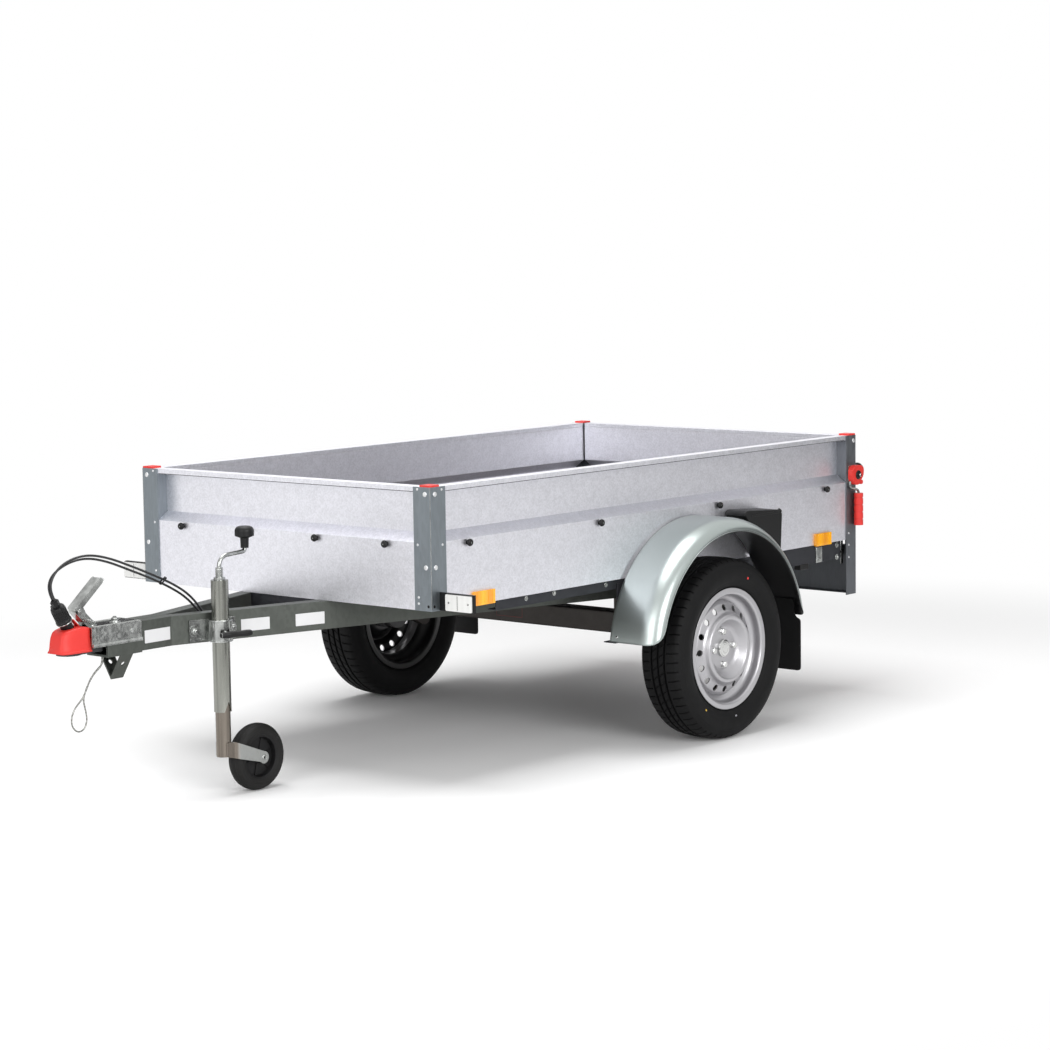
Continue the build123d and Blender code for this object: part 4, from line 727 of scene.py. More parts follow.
def film_plywood():
    """Film-faced birch plywood: a dark phenolic film pressed with wire mesh, rows 3 mm apart."""
    material, tree, body = surface("Film-faced plywood", 0.5, ior=1.55)
    where = put(tree, "ShaderNodeTexCoord").outputs["Object"]
    mesh = put(
        tree, "ShaderNodeTexBrick",
        {"Vector": where, "Scale": per(FILM_MESH), "Mortar Size": 0.08}, offset=0.0,
    ).outputs["Fac"]
    cloud = put(
        tree, "ShaderNodeTexNoise", {"Vector": where, "Scale": per(FILM_CLOUD), "Detail": 5.0}
    ).outputs["Fac"]
    mixed = put(
        tree, "ShaderNodeMix",
        {0: cloud, 6: shade(colours().plywood, 0.75), 7: shade(colours().plywood, 1.25)},
        data_type="RGBA",
    )
    tree.links.new(mixed.outputs[2], body.inputs["Base Color"])
    bump = put(tree, "ShaderNodeBump", {"Height": mesh, "Strength": 0.25, "Distance": 0.4 * MM})
    tree.links.new(bump.outputs[0], body.inputs["Normal"])
    return material


RIM_METAL = 0.75                # share of metal in the flake paint
RIM_SHADE_START = 655.0                 # painted shade starts this far from the trailer's middle
RIM_SHADE_BAND = 4.0                  # and fades over this width
INBOARD = (-0.1, -0.4)          # from paint to painted shade, by how far a face looks inboard


def silver_paint():
    """Aluminium-flake paint under a clear coat: flakes of 0.1 mm, drawn at 1 mm to show; its
    inboard side is black as painted shade.
    """
    material, tree, body = surface(
        "Silver flake paint", 0.36, RIM_METAL, coat_weight=0.35, coat_roughness=0.12
    )
    where = put(tree, "ShaderNodeTexCoord").outputs["Object"]
    flakes = put(
        tree, "ShaderNodeTexNoise", {"Vector": where, "Scale": per(1.0), "Detail": 1.0}
    ).outputs["Fac"]
    paint_tone = put(
        tree, "ShaderNodeMix",
        {0: flakes, 6: shade(colours().rim, 0.93), 7: shade(colours().rim, 1.06)},
        data_type="RGBA",
    ).outputs[2]
    # painted shade: the inboard side turns black, inside the barrel and where a face looks inboard
    across = put(tree, "ShaderNodeSeparateXYZ", {0: where}).outputs[1]
    off = put(tree, "ShaderNodeMath", {0: across}, operation="ABSOLUTE").outputs[0]
    inside = put(
        tree, "ShaderNodeMapRange",
        {"Value": off, "From Min": RIM_SHADE_START * MM, "From Max": (RIM_SHADE_START - RIM_SHADE_BAND) * MM},
    ).outputs[0]
    way = put(
        tree, "ShaderNodeSeparateXYZ", {0: put(tree, "ShaderNodeTexCoord").outputs["Normal"]}
    ).outputs[1]
    side = put(tree, "ShaderNodeMath", {0: across}, operation="SIGN").outputs[0]
    outboard = put(tree, "ShaderNodeMath", {0: way, 1: side}, operation="MULTIPLY").outputs[0]
    inboard = put(
        tree, "ShaderNodeMapRange",
        {"Value": outboard, "From Min": INBOARD[0], "From Max": INBOARD[1]},
    ).outputs[0]
    # share of painted shade, which also takes the metal away
    dipped = put(tree, "ShaderNodeMath", {0: inside, 1: inboard}, operation="MAXIMUM").outputs[0]
    mixed = put(
        tree, "ShaderNodeMix", {0: dipped, 6: paint_tone, 7: colours().black}, data_type="RGBA"
    )
    tree.links.new(mixed.outputs[2], body.inputs["Base Color"])
    bright = put(
        tree, "ShaderNodeMapRange", {"Value": dipped, "To Min": RIM_METAL, "To Max": 0.0}
    ).outputs[0]
    tree.links.new(bright, body.inputs["Metallic"])
    soft = put(tree, "ShaderNodeBevel", {"Radius": 1.5 * MM}, samples=4)
    bump = put(
        tree, "ShaderNodeBump",
        {"Height": flakes, "Strength": 0.05, "Distance": 0.2 * MM, "Normal": soft.outputs[0]},
    )
    tree.links.new(bump.outputs[0], body.inputs["Normal"])
    return material


def tyre_rubber():
    """Vulcanised natural rubber with carbon black: matt, with a bluish bloom."""
    return moulded(
        "Vulcanised tyre rubber", colours().rubber, 0.66, 1.2, 0.25,
        ior=1.52, scuff=0.22, specular_ior_level=0.2,
    )


def flap_rubber():
    """Sheet rubber of the mud flaps: matt, with a cloth-like press grain."""
    return moulded(
        "Pressed sheet rubber", colours().black, 0.62, 1.5, 0.2,
        ior=1.52, scuff=0.2, specular_ior_level=0.3,
    )


def jockey_solid_rubber():
    """Solid rubber moulded on the jockey wheel: matt and slightly brown."""
    return moulded(
        "Solid wheel rubber", colours().jockey_rubber, 0.6, 1.2, 0.25,
        ior=1.52, scuff=0.25, specular_ior_level=0.3,
    )


def cable_sheath():
    """Extruded PVC sheath: smooth and a little shiny."""
    return moulded("Extruded PVC sheath", colours().cable, 0.38, 1.5, 0.06, ior=1.53)


def turned_brass():
    """Turned brass: warm, with fine tool marks."""
    return zinc_coat("Turned brass", colours().brass, 0.3, 1.5, 0.08, streak=0.9)


def paint_dot(name, hex_colour):
    """Dab of marking paint or ink: even and dull."""
    return moulded(name, linear(hex_colour), 0.5, 1.0, 0.2, scuff=0.15)


# finish: (what makes it, the record's slot)
FINISHES = {
    "sheet": (galvanised_sheet, "galvanised_sheet"),
    "post": (rolled_post, "post_steel"),
    "shaded rear post": (shaded_rear_post, "post_steel"),
    "rail": (frame_rail, "frame_steel"),
    "axle": (axle_tube, "frame_steel"),
    "drawbar": (drawbar_beam, "drawbar_steel"),
    "zinc": (zinc_plate, "zinc_steel"),
    "tube": (plated_tube, "zinc_steel"),
    "leg": (plated_leg, "zinc_steel"),
    "bright": (bright_plate, "zinc_steel"),
    "rivet": (rivet_aluminium, "zinc_steel"),
    "cast": (cast_iron, "cast_steel"),
    "fender": (fender_sheet, "fender_steel"),
    "red": (red_polypropylene, "red_plastic"),
    "red rubber": (red_rubber, "red_plastic"),
    "black": (black_polypropylene, "black_plastic"),
    "white lens": (white_acrylic, "white_lens"),
    "red lens": (red_acrylic, "red_lens"),
    "amber": (amber_acrylic, "amber_lens"),
    "label": (label_film, "plate_white"),
    "plywood": (film_plywood, "plywood"),
    "rim": (silver_paint, "wheel_silver"),
    "jockey hub": (jockey_hub_plastic, "black_plastic"),
    "flap": (flap_rubber, "black_plastic"),
    "rubber": (tyre_rubber, "tyre_rubber"),
    "jockey rubber": (jockey_solid_rubber, "jockey_rubber"),
    "cable": (cable_sheath, "cord_rubber"),
    "rope": (steel_rope, "steel_rope"),
    "brass": (turned_brass, "nut_brass"),
    "red dot": (lambda: paint_dot("Red marking paint", "e0302c"), "red_plastic"),
    "yellow dot": (lambda: paint_dot("Yellow marking paint", "d8b13a"), "amber_lens"),
    "grey dot": (lambda: paint_dot("Grey marking paint", "9a9aa0"), "plate_white"),
    "dark label": (lambda: paint_dot("Dark red label ink", "5a1f1c"), "red_plastic"),
}
MADE = {}

# node: finish
NODE_FINISHES = {
    "axle_beam": "axle", "axle_mounts": "axle", "ball_socket": "cast", "coupling_body": "zinc",
    "coupling_handle": "zinc", "coupling_nose": "red rubber", "crank_knob": "black",
    "cross_rails": "rail", "drawbar_left": "drawbar", "drawbar_nose": "drawbar",
    "drawbar_right": "drawbar", "fender_left": "fender", "fender_right": "fender",
    "fender_struts": "rail", "floor": "plywood", "front_posts": "post", "front_wall": "sheet",
    "jockey_clamp": "zinc", "jockey_crank": "zinc", "jockey_hub": "jockey hub", "jockey_leg": "leg",
    "jockey_nut": "brass", "jockey_tube": "tube", "jockey_tyre": "jockey rubber",
    "lash_knobs": "black", "latch_grips": "red", "latch_rods": "zinc", "lead_guide": "rail",
    "lead_inner": "cable", "lead_outer": "cable", "marker_holders": "black",
    "marker_lamps": "white lens", "mud_flaps": "black", "number_plate": "label", "plug": "black",
    "post_caps": "red", "rear_posts": "shaded rear post", "rear_skirt": "shaded rear post", "rim_left": "rim",
    "rim_right": "rim", "safety_cable": "rope", "side_rails": "rail", "side_reflectors": "amber",
    "side_wall_left": "sheet", "side_wall_right": "sheet", "tail_lamps": "red lens",
    "tailgate": "sheet", "tailgate_hinges": "zinc", "tyre_left": "rubber", "tyre_right": "rubber",
    "wheel_chocks": "black",
}


def paint(finish):
    """The finish's material, made once."""
    if finish not in MADE:
        MADE[finish] = FINISHES[finish][0]()
    return MADE[finish]


class TrailerOperator:
    """What the trailer's operators share."""

    bl_options = {"REGISTER", "UNDO"}


# ---------------------------------------------------------------- camera and cords
CAMERA_AT = (6.2903, 5.7, 1.5845)
CAMERA_YAW = -2.4386
CAMERA_PITCH = 0.1103           # downward
CAMERA_ROLL = 0.0147
CAMERA_LENS = 97.65
CAMERA_SENSOR = 36.0
CAMERA_REACH = 100.0


class TRAILER_OT_camera(TrailerOperator, bpy.types.Operator):
    """Set up the three-quarter view of the coupling end"""

    bl_idname = "trailer.camera"
    bl_label = "Camera"

    def execute(self, context):
        level = cos(CAMERA_PITCH)
        ahead = Vector((cos(CAMERA_YAW) * level, sin(CAMERA_YAW) * level, -sin(CAMERA_PITCH)))
        right = ahead.cross(Vector((0, 0, 1))).normalized()
        down = ahead.cross(right)
        turned_right = right * cos(CAMERA_ROLL) + down * sin(CAMERA_ROLL)
        turned_down = down * cos(CAMERA_ROLL) - right * sin(CAMERA_ROLL)
        data = bpy.data.cameras.new("Camera")
        data.lens = CAMERA_LENS
        data.sensor_width = CAMERA_SENSOR
        data.clip_end = CAMERA_REACH
        camera = bpy.data.objects.new("Camera", data)
        turn = Matrix((turned_right, -turned_down, -ahead)).transposed().to_4x4()
        camera.matrix_world = Matrix.Translation(CAMERA_AT) @ turn
        context.scene.collection.objects.link(camera)
        context.scene.camera = camera
        return {"FINISHED"}


LEAD_OUTER = [
    (1470, 4, 590), (1485.46, 4, 618), (1476, 5, 652), (1446, 6, 679), (1400, 7, 695),
    (1345, 8, 697), (1280, 9, 681), (1210, 10, 654), (1140, 11, 625), (1072, 12, 595),
    (1012, 13, 561), (972, 16, 522), (936, 18, 470), (888, 18, 470),
]
LEAD_INNER = [
    (1470, -4, 590), (1484.35, -4, 616), (1477, -3, 648), (1446, -2, 671), (1400, -1, 686),
    (1346, 0, 688), (1282, 1, 672), (1212, 2, 644), (1140, 3, 615), (1072, 4, 584),
    (1012, 5, 550), (970, 8, 510), (934, 10, 462), (888, 10, 462),
]
SAFETY_CABLE = [
    (1318, 9, 423), (1318, 9, 400), (1332, 0, 384), (1340, -16, 362), (1343, -27, 336),
    (1354, -32, 310), (1378, -36, 288), (1392, -36, 264), (1391, -36, 238), (1371, -36, 220),
    (1347, -36, 226), (1337, -36, 250), (1342, -37, 280), (1348, -38, 306), (1338, -35, 334),
    (1332, -25, 358), (1322, -16, 380), (1298, -9, 400), (1298, -9, 423),
]
# name, route, setting of its diameter, finish, length in mm, stiffness
CORDS = (
    ("lead_outer", LEAD_OUTER, "lead", "cable", 732.0, "medium"),
    ("lead_inner", LEAD_INNER, "lead", "cable", 724.0, "medium"),
    ("safety_cable", SAFETY_CABLE, "rope", "rope", 479.0, "stiff"),
)
TIE_X = 1096.0                  # where the cable tie holds the two leads together
TIE_SLACK = 0.6                 # between the leads and the tie's inner face
TIE_GROWTH = 3.0                # how much wider the outer face is than the leads
TIE_HALF_W = 2.4
TIE_LOCK = 6.4                  # side of the square lock
LOCK_HALF_L = 3.4
LOCK_OFF = 2.6


def line_of(cord):
    """Points of a cord's own spline, in millimetres."""
    bare = cord.data.copy()
    bare.bevel_depth = 0.0
    guide = bpy.data.objects.new("guide", bare)
    mesh = bpy.data.meshes.new_from_object(guide)
    points = [v.co / MM for v in mesh.vertices]
    bpy.data.objects.remove(guide)
    bpy.data.meshes.remove(mesh)
    bpy.data.curves.remove(bare)
    return points


def cable_tie(cords):
    """Band drawn round two leads, with its square lock."""
    spots, ways = [], []
    for cord in cords:
        points = line_of(cord)
        i = min(range(1, len(points) - 1), key=lambda k: abs(points[k].x - TIE_X))
        spots.append(points[i])
        ways.append((points[i + 1] - points[i - 1]).normalized())
    middle = (spots[0] + spots[1]) / 2
    way = (ways[0] + ways[1]).normalized()
    apart = (spots[0] - spots[1]).length
    at = lay(middle, way, spots[0] - spots[1])
    lead = sizes().lead / MM
    inner, outer = [
        oblong(apart + lead + grow, lead + grow, (lead + grow) * 0.48, 6)
        for grow in (TIE_SLACK, TIE_GROWTH)
    ]
    bm = bmesh.new()
    rings = [
        ring_at(bm, at, band, height)
        for band, height in (
            (inner, -TIE_HALF_W), (outer, -TIE_HALF_W), (outer, TIE_HALF_W), (inner, TIE_HALF_W),
        )
    ]
    bridge_all(bm, rings + rings[:1])
    lock = at @ Matrix.Translation((apart / 2 + lead / 2 + LOCK_OFF, 0, 0))
    square = oblong(TIE_LOCK, TIE_LOCK, corner=1.4, steps=2)
    slab(bm, square, lock, top=LOCK_HALF_L, edge=0.8, base=-LOCK_HALF_L)
    return place("cable_tie", bm, "cable")


class TRAILER_OT_cords(TrailerOperator, bpy.types.Operator):
    """Lay the two leads to the plug and the safety cable's loop"""

    bl_idname = "trailer.cords"
    bl_label = "Cords"

    def execute(self, context):
        made = []
        for name, route, size, finish, real_length, stiffness in CORDS:
            diameter = getattr(sizes(), size)
            data = bpy.data.curves.new(f"{name}_line", "CURVE")
            data.dimensions = "3D"
            data.resolution_u = 16
            data.bevel_depth = diameter / 2
            data.bevel_resolution = 4
            data.use_fill_caps = True
            spline = data.splines.new("NURBS")
            spline.points.add(len(route) - 1)
            for point, (x, y, z) in zip(spline.points, route):
                point.co = (x * MM, y * MM, z * MM, 1.0)
            spline.order_u = 3
            spline.use_endpoint_u = True
            data.materials.append(paint(finish))
            cord = bpy.data.objects.new(f"{name}_cord", data)
            context.scene.collection.objects.link(cord)
            made.append(cord)
            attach(cord, "chassis")
            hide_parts(name)
            with_pieces = [cable_tie(made)] if name == "lead_inner" else []
        return {"FINISHED"}


# ---------------------------------------------------------------- carried-over nodes
class TRAILER_OT_finishes(TrailerOperator, bpy.types.Operator):
    """Give every CAD node its material"""

    bl_idname = "trailer.finishes"
    bl_label = "Finishes"

    def execute(self, context):
        for name, node in frame["nodes"].items():
            for held in node.material_slots:
                held.material = paint(NODE_FINISHES[name])
        return {"FINISHED"}


# ---------------------------------------------------------------- road wheels
# distance from the tyre's middle plane, radius, share of the sipe's depth or the groove's full
# depth, and how far the sipe has slanted round the tyre there, in pitches
TREAD = (
    (0.0, 272.0, "groove", 0.0), (3.2, 272.0, "groove", 0.0),
    (4.2, 271.95, 0.0, 0.0), (5.0, 271.95, 0.7, 0.04),
    (11.5, 271.9, 1.0, 0.22), (18.0, 271.8, 0.7, 0.4), (19.0, 271.8, 0.0, 0.44),
    (20.0, 271.6, "groove", 0.44), (26.0, 271.6, "groove", 0.44),
    (27.0, 271.4, 0.0, 0.44), (30.5, 271.3, 0.0, 0.46), (31.5, 271.2, 0.9, 0.48),
    (44.0, 270.3, 1.0, 0.54), (55.0, 268.4, 1.0, 0.58), (60.0, 266.0, 0.9, 0.6),
    (64.0, 262.5, 0.6, 0.6), (66.8, 260.0, 0.0, 0.6),
)
# distance from the middle plane, radius
SIDEWALL = (
    (68.6, 256.4), (71.3, 251.0), (73.4, 246.6), (73.9, 244.4), (74.9, 243.2), (76.2, 235.0),
    (77.1, 228.0), (76.2, 217.0), (74.0, 209.0), (71.6, 203.6), (70.8, 202.4), (69.6, 199.0),
    (67.6, 194.4), (66.0, 191.2), (62.2, 188.0), (58.3, 184.6), (57.2, 178.0), (55.8, 166.4),
)
TYRE_LINER = ((45.0, 167.0), (58.0, 200.0), (64.0, 228.0), (54.0, 249.0), (38.0, 255.0))
# along one pitch of the tread: share of the pitch, share of the sipe's depth
SIPE_STEPS = ((0.0, 0.0), (0.04, 1.0), (0.12, 1.0), (0.16, 0.0), (0.44, 0.0), (0.72, 0.0))
TYRE_SHARP = 28.0               # edges with a larger angle than this are shaded sharp


def tyre_rows():
    """Section right round the tyre: distance from its middle, radius, sipe's depth and lead."""
    groove = sizes().tread_depth / MM
    half = []
    for offset, radius, cut, shift in TREAD:
        if cut == "groove":
            half.append((offset, radius - groove, 0.0, shift))
        else:
            half.append((offset, radius, cut, shift))
    last = half[-1][3]
    half += [(offset, radius, 0.0, last) for offset, radius in SIDEWALL + TYRE_LINER]
    other = [(-offset, radius, cut, -shift) for offset, radius, cut, shift in half[1:]]
    return half + other[::-1]


def tyre_mesh(bm, side):
    """Radial tyre with three grooves, slanted sipes and shoulder slots."""
    pitches = sizes().tread_pitches
    depth = sizes().sipe_depth / MM
    rings = []
    for offset, radius, cut, shift in tyre_rows():
        ring = []
        for pitch in range(pitches):
            for step, sunk in SIPE_STEPS:
                turn = 2 * pi * (pitch + step + shift) / pitches
                r = radius - depth * cut * sunk
                ring.append(bm.verts.new((
                    AXLE_X + r * cos(turn), side * (WHEEL_Y + offset), WHEEL_R + r * sin(turn),
                )))
        rings.append(ring)
    bridge_all(bm, rings + rings[:1])


# from the wheel's centre: across, up, finish, radius
DOTS = (
    (-76.7, 204.9, "red dot", 3.6), (136.8, -165.7, "yellow dot", 3.4),
    (-17.8, -204.8, "grey dot", 4.2),
)
DOT_SINK = 0.5                  # into the tyre's side


def sidewall_at(radius):
    """How far the tyre's side stands out from its middle plane at a radius."""
    rows = sorted((r, w) for w, r in SIDEWALL)
    for (r0, w0), (r1, w1) in zip(rows, rows[1:]):
        if r0 <= radius <= r1:
            return w0 + (w1 - w0) * (radius - r0) / (r1 - r0)
    raise ValueError(f"radius {radius} is off the tyre's side")


class TRAILER_OT_tyres(TrailerOperator, bpy.types.Operator):
    """Build the road tyres with their tread and the marking dots"""

    bl_idname = "trailer.tyres"
    bl_label = "Road tyres"

    def execute(self, context):
        for name, side in SIDES:
            wheel = f"wheel_{name}"
            bm = bmesh.new()
            tyre_mesh(bm, side)
            place(f"tread_{name}", bm, "rubber", wheel, (f"tyre_{name}",), TYRE_SHARP)
            for across, up, finish, radius in DOTS:
                bm = bmesh.new()
                out = WHEEL_Y + sidewall_at(hypot(across, up)) - DOT_SINK
                dab = [(radius, 0), (radius * 0.96, 0.8), (radius * 0.6, 1.1), (0, 1.2)]
                turned(bm, dab, outward(AXLE_X + across, out, WHEEL_R + up, side), 14)
                place(f"{finish.replace(' ', '_')}_{name}", bm, finish, wheel)
        return {"FINISHED"}


DISC_DEPTH = 31.0               # the disc's flat, in from the rim's edge
WHEEL_BOLTS = 4
BOLT_START = 87.0
BOLT_SEAT = ((13.0, -0.5), (12.6, 1.6), (10.2, 4.2), (0, 4.2))
BOLT_TIP = ((5.2, 15.0), (5.0, 15.6), (0, 15.7))
BOLT_HEAD = (3.0, 15.0, 1.6)    # foot, top and broken edge of its six flats
CAP_DEPTH = 18.0
CAP_PROFILE = (
    (26.2, -13.5), (26.8, -12.8), (27.0, -4.0), (26.4, -0.9), (24.8, 0.3), (22.4, 0.5),
    (21.8, 1.5), (15.5, 2.0), (14.9, 1.2), (12.6, 1.2), (12.0, 2.2), (0, 2.4),
)
VALVE_R = 151.0                 # from the wheel's centre
VALVE_DEPTH = 36.0              # in from the rim's edge
VALVE_LEAN = 0.25               # along +X for each millimetre outward
VALVE_PROFILE = (
    (8.5, -3), (8.0, 2), (5.6, 7), (5.0, 20), (4.6, 21), (4.4, 29), (3.6, 30), (0, 30),
)


class TRAILER_OT_wheel_fittings(TrailerOperator, bpy.types.Operator):
    """Add the wheel bolts, dust caps and valves"""

    bl_idname = "trailer.wheel_fittings"
    bl_label = "Wheel fittings"

    def execute(self, context):
        ring = sizes().bolt_circle / MM / 2
        flats = sizes().wheel_bolt / MM
        foot, top, edge = BOLT_HEAD
        for name, side in SIDES:
            bm = bmesh.new()
            for i in range(WHEEL_BOLTS):
                turn = radians(BOLT_START + 360 / WHEEL_BOLTS * i)
                seat = outward(
                    AXLE_X + ring * cos(turn), RIM_FACE_Y - DISC_DEPTH,
                    WHEEL_R + ring * sin(turn), side,
                )
                turned(bm, BOLT_SEAT, seat)
                slab(bm, hexagon(flats), seat, top, edge, foot)
                turned(bm, BOLT_TIP, seat, 16)
            turned(bm, CAP_PROFILE, outward(AXLE_X, RIM_FACE_Y - CAP_DEPTH, WHEEL_R, side), 40)
            place(f"wheel_bolts_{name}", bm, "bright", f"wheel_{name}")
            bm = bmesh.new()
            foot_at = (AXLE_X + VALVE_R, side * (RIM_FACE_Y - VALVE_DEPTH), WHEEL_R)
            turned(bm, VALVE_PROFILE, lay(foot_at, (VALVE_LEAN, side, 0)), 14)
            place(f"valve_{name}", bm, "black", f"wheel_{name}")
        return {"FINISHED"}


# ---------------------------------------------------------------- coupling
# x, half width of the lower lip, half width of the flat top, height of the top
NOSE_SECTIONS = (
    (1380.2, 43.0, 33.5, 511.0), (1392.0, 43.0, 33.0, 512.6), (1406.0, 43.0, 32.0, 513.6),
    (1422.0, 42.0, 30.6, 511.4), (1438.0, 40.4, 29.0, 509.0), (1450.0, 39.0, 27.0, 506.4),
    (1458.0, 36.4, 24.4, 503.0), (1464.6, 33.2, 22.0, 495.0), (1468.4, 31.0, 21.0, 481.0),
    (1471.9, 28.0, 19.0, 463.0),
)
NOSE_BASE = 447.0
NOSE_LIP = 4.0
NOSE_FLARE = 5.0
NOSE_WALL = 3.0
NOSE_SHARP = 45.0
# tongue that rises in front of the lever's stalk: foot, the way it faces, the way it runs
TONGUE = ((1391.0, 0, 509.0), (-0.74, 0, 0.67), (0.67, 0, 0.74))
TONGUE_SHAPE = ((0, -9), (30, -6), (30, 6), (0, 9))
TONGUE_T = 3.4


def nose_arch(half_base, half_top, top):
    """Open arch of the nose: flared lip, sloping side, broken shoulder and flat top."""
    rise = top - NOSE_BASE
    waist = half_base - NOSE_FLARE
    slope = [
        (half_base, NOSE_BASE), (half_base, NOSE_BASE + NOSE_LIP),
        (waist + 1.6, NOSE_BASE + min(rise * 0.2, NOSE_LIP + 3.0)),
        (waist, NOSE_BASE + min(rise * 0.34, NOSE_LIP + 8.0)),
        (waist * 0.6 + half_top * 0.4, NOSE_BASE + rise * 0.6),
        (half_top + 2.4, top - min(8.0, rise * 0.2)), (half_top, top - min(2.6, rise * 0.07)),
        (half_top - 3.4, top - 0.3), (half_top * 0.5, top),
    ]
    return [(-y, z) for y, z in slope] + [(0.0, top)] + slope[::-1]


class TRAILER_OT_nose(TrailerOperator, bpy.types.Operator):
    """Mould the soft red nose over the ball socket"""

    bl_idname = "trailer.nose"
    bl_label = "Coupling nose"

    def execute(self, context):
        bm = bmesh.new()
        rows = [
            [bm.verts.new((x, y, z)) for y, z in nose_arch(*section)]
            for x, *section in NOSE_SECTIONS
        ]
        for low, high in zip(rows, rows[1:]):
            for i in range(len(low) - 1):
                bm.faces.new((low[i], low[i + 1], high[i + 1], high[i]))
        bm.faces.new(rows[-1])
        slab(bm, rounded(TONGUE_SHAPE, radius=4), lay(*TONGUE), top=TONGUE_T, edge=1.0)
        piece = place("soft_nose", bm, "red rubber", replaces=("coupling_nose",), sharp=NOSE_SHARP)
        thicken(piece, NOSE_WALL)
        return {"FINISHED"}


HOUSING_TOP = 509.5
HOUSING_SIDE = 42.5
# x, y, across flats, height: bolts through the housing's top
HOUSING_BOLTS = ((1345.0, 0.0, 17.0, 8.0), (1262.0, 0.0, 17.0, 8.0))
BOLT_END = ((5.2, 8), (5.2, 13), (4.6, 13.8), (0, 13.8))
SIDE_RIVET = (1240.0, 486.0)    # x and z
# wires along the left of the coupling: points, radius, steps round
LOWER_LIP = (
    ((1206.0, 43.9, 461.4), (1300.0, 43.9, 461.4), (1379.0, 43.9, 461.4)), 4.2, 12,
)
TOP_RIB = (((1210.0, 38.0, 508.2), (1300.0, 38.0, 508.2), (1370.0, 36.0, 508.2)), 3.4, 10)
LEVER_END = (((1320.0, 15.6, 634.0), (1310.0, 15.6, 628.0), (1315.5, 15.6, 621.0)), 1.8, 8)
LEVER_PIVOT = (1397.0, 17.0, 552.0)
PIVOT_PROFILE = ((7.5, 0), (7.5, 2.2), (6.8, 3), (4, 3), (3.6, 4.4), (0, 4.6))
SPRING_AT = (1352.0, 20.0, 519.0)
SPRING_R = 4.5
SPRING_WIRE_R = 1.0
SPRING_TURNS = 8
SPRING_STEPS = 12               # points in one turn
SPRING_PITCH = 4.5              # along +X
SPRING_RISE = 0.12              # upward, at each point


class TRAILER_OT_coupling(TrailerOperator, bpy.types.Operator):
    """Add the coupling's bolts, rolled lips, ribs, lever pivots and return spring"""

    bl_idname = "trailer.coupling"
    bl_label = "Coupling fittings"

    def execute(self, context):
        bm = bmesh.new()
        for x, y, flats, height in HOUSING_BOLTS:
            head = lay((x, y, HOUSING_TOP), (0, 0, 1))
            bolt(bm, head, flats, height)
            turned(bm, BOLT_END, head, 14)
        for _, side in SIDES:
            for points, radius, steps in (LOWER_LIP, TOP_RIB, LEVER_END):
                rod(bm, [(x, side * y, z) for x, y, z in points], radius, steps)
            x, z = SIDE_RIVET
            head = rivet_head(diameter=12.0, height=3.5)
            turned(bm, head, outward(x, HOUSING_SIDE, z, side))
            turned(bm, PIVOT_PROFILE, outward(*LEVER_PIVOT, side))
        coil = []
        for i in range(SPRING_TURNS * SPRING_STEPS + 1):
            turn = 2 * pi * i / SPRING_STEPS
            x, y, z = SPRING_AT
            coil.append((
                x + SPRING_PITCH * i / SPRING_STEPS, y + SPRING_R * cos(turn),
                z + SPRING_R * sin(turn) + i * SPRING_RISE,
            ))
        rod(bm, coil, SPRING_WIRE_R, steps=6)
        place("coupling_fittings", bm, "zinc")
        return {"FINISHED"}


PLUG_TOP = (1470.0, 0.0, 590.0)
PLUG_TILT = radians(28.9)
PLUG_GLAND = ((0, 0), (7.5, 0), (8.6, 1.2), (8.8, 4.0))
PLUG_NUT = 20.6                 # across flats
PLUG_NECK = ((10.4, 17), (10.6, 21), (0, 21))
PLUG_SHOULDER = [(0, 19.6), (13.0, 20), (17.2, 21.2), (19.2, 24), (19.8, 28)]
PLUG_SKIRT = [(20.4, 62), (21.9, 64), (22.0, 68.6), (17.0, 69.0), (16.8, 109.8), (0, 110)]
PLUG_GROOVES = 5
GROOVE_FIRST = 34
GROOVE_PITCH = 5.4
GROOVE_PROFILE = ((20.0, -1.6), (19.0, -0.9), (19.0, 0.9), (20.0, 1.6))
PLUG_LUG = ((-6, -6), (5.5, -4), (5.5, 4), (-6, 6))
LUG_AT = (18.0, 0, 28.0)
GRIP_RIBS = 20
GRIP_R = 20.0
RIB_SPAN = (30, 46, 61)         # down the plug's body
RIB_R = 0.7
PLUG_RING = ((17.4, 69.4), (20.6, 69.4), (21.2, 70.4), (20.6, 72.4), (17.4, 72.6), (17.4, 69.4))


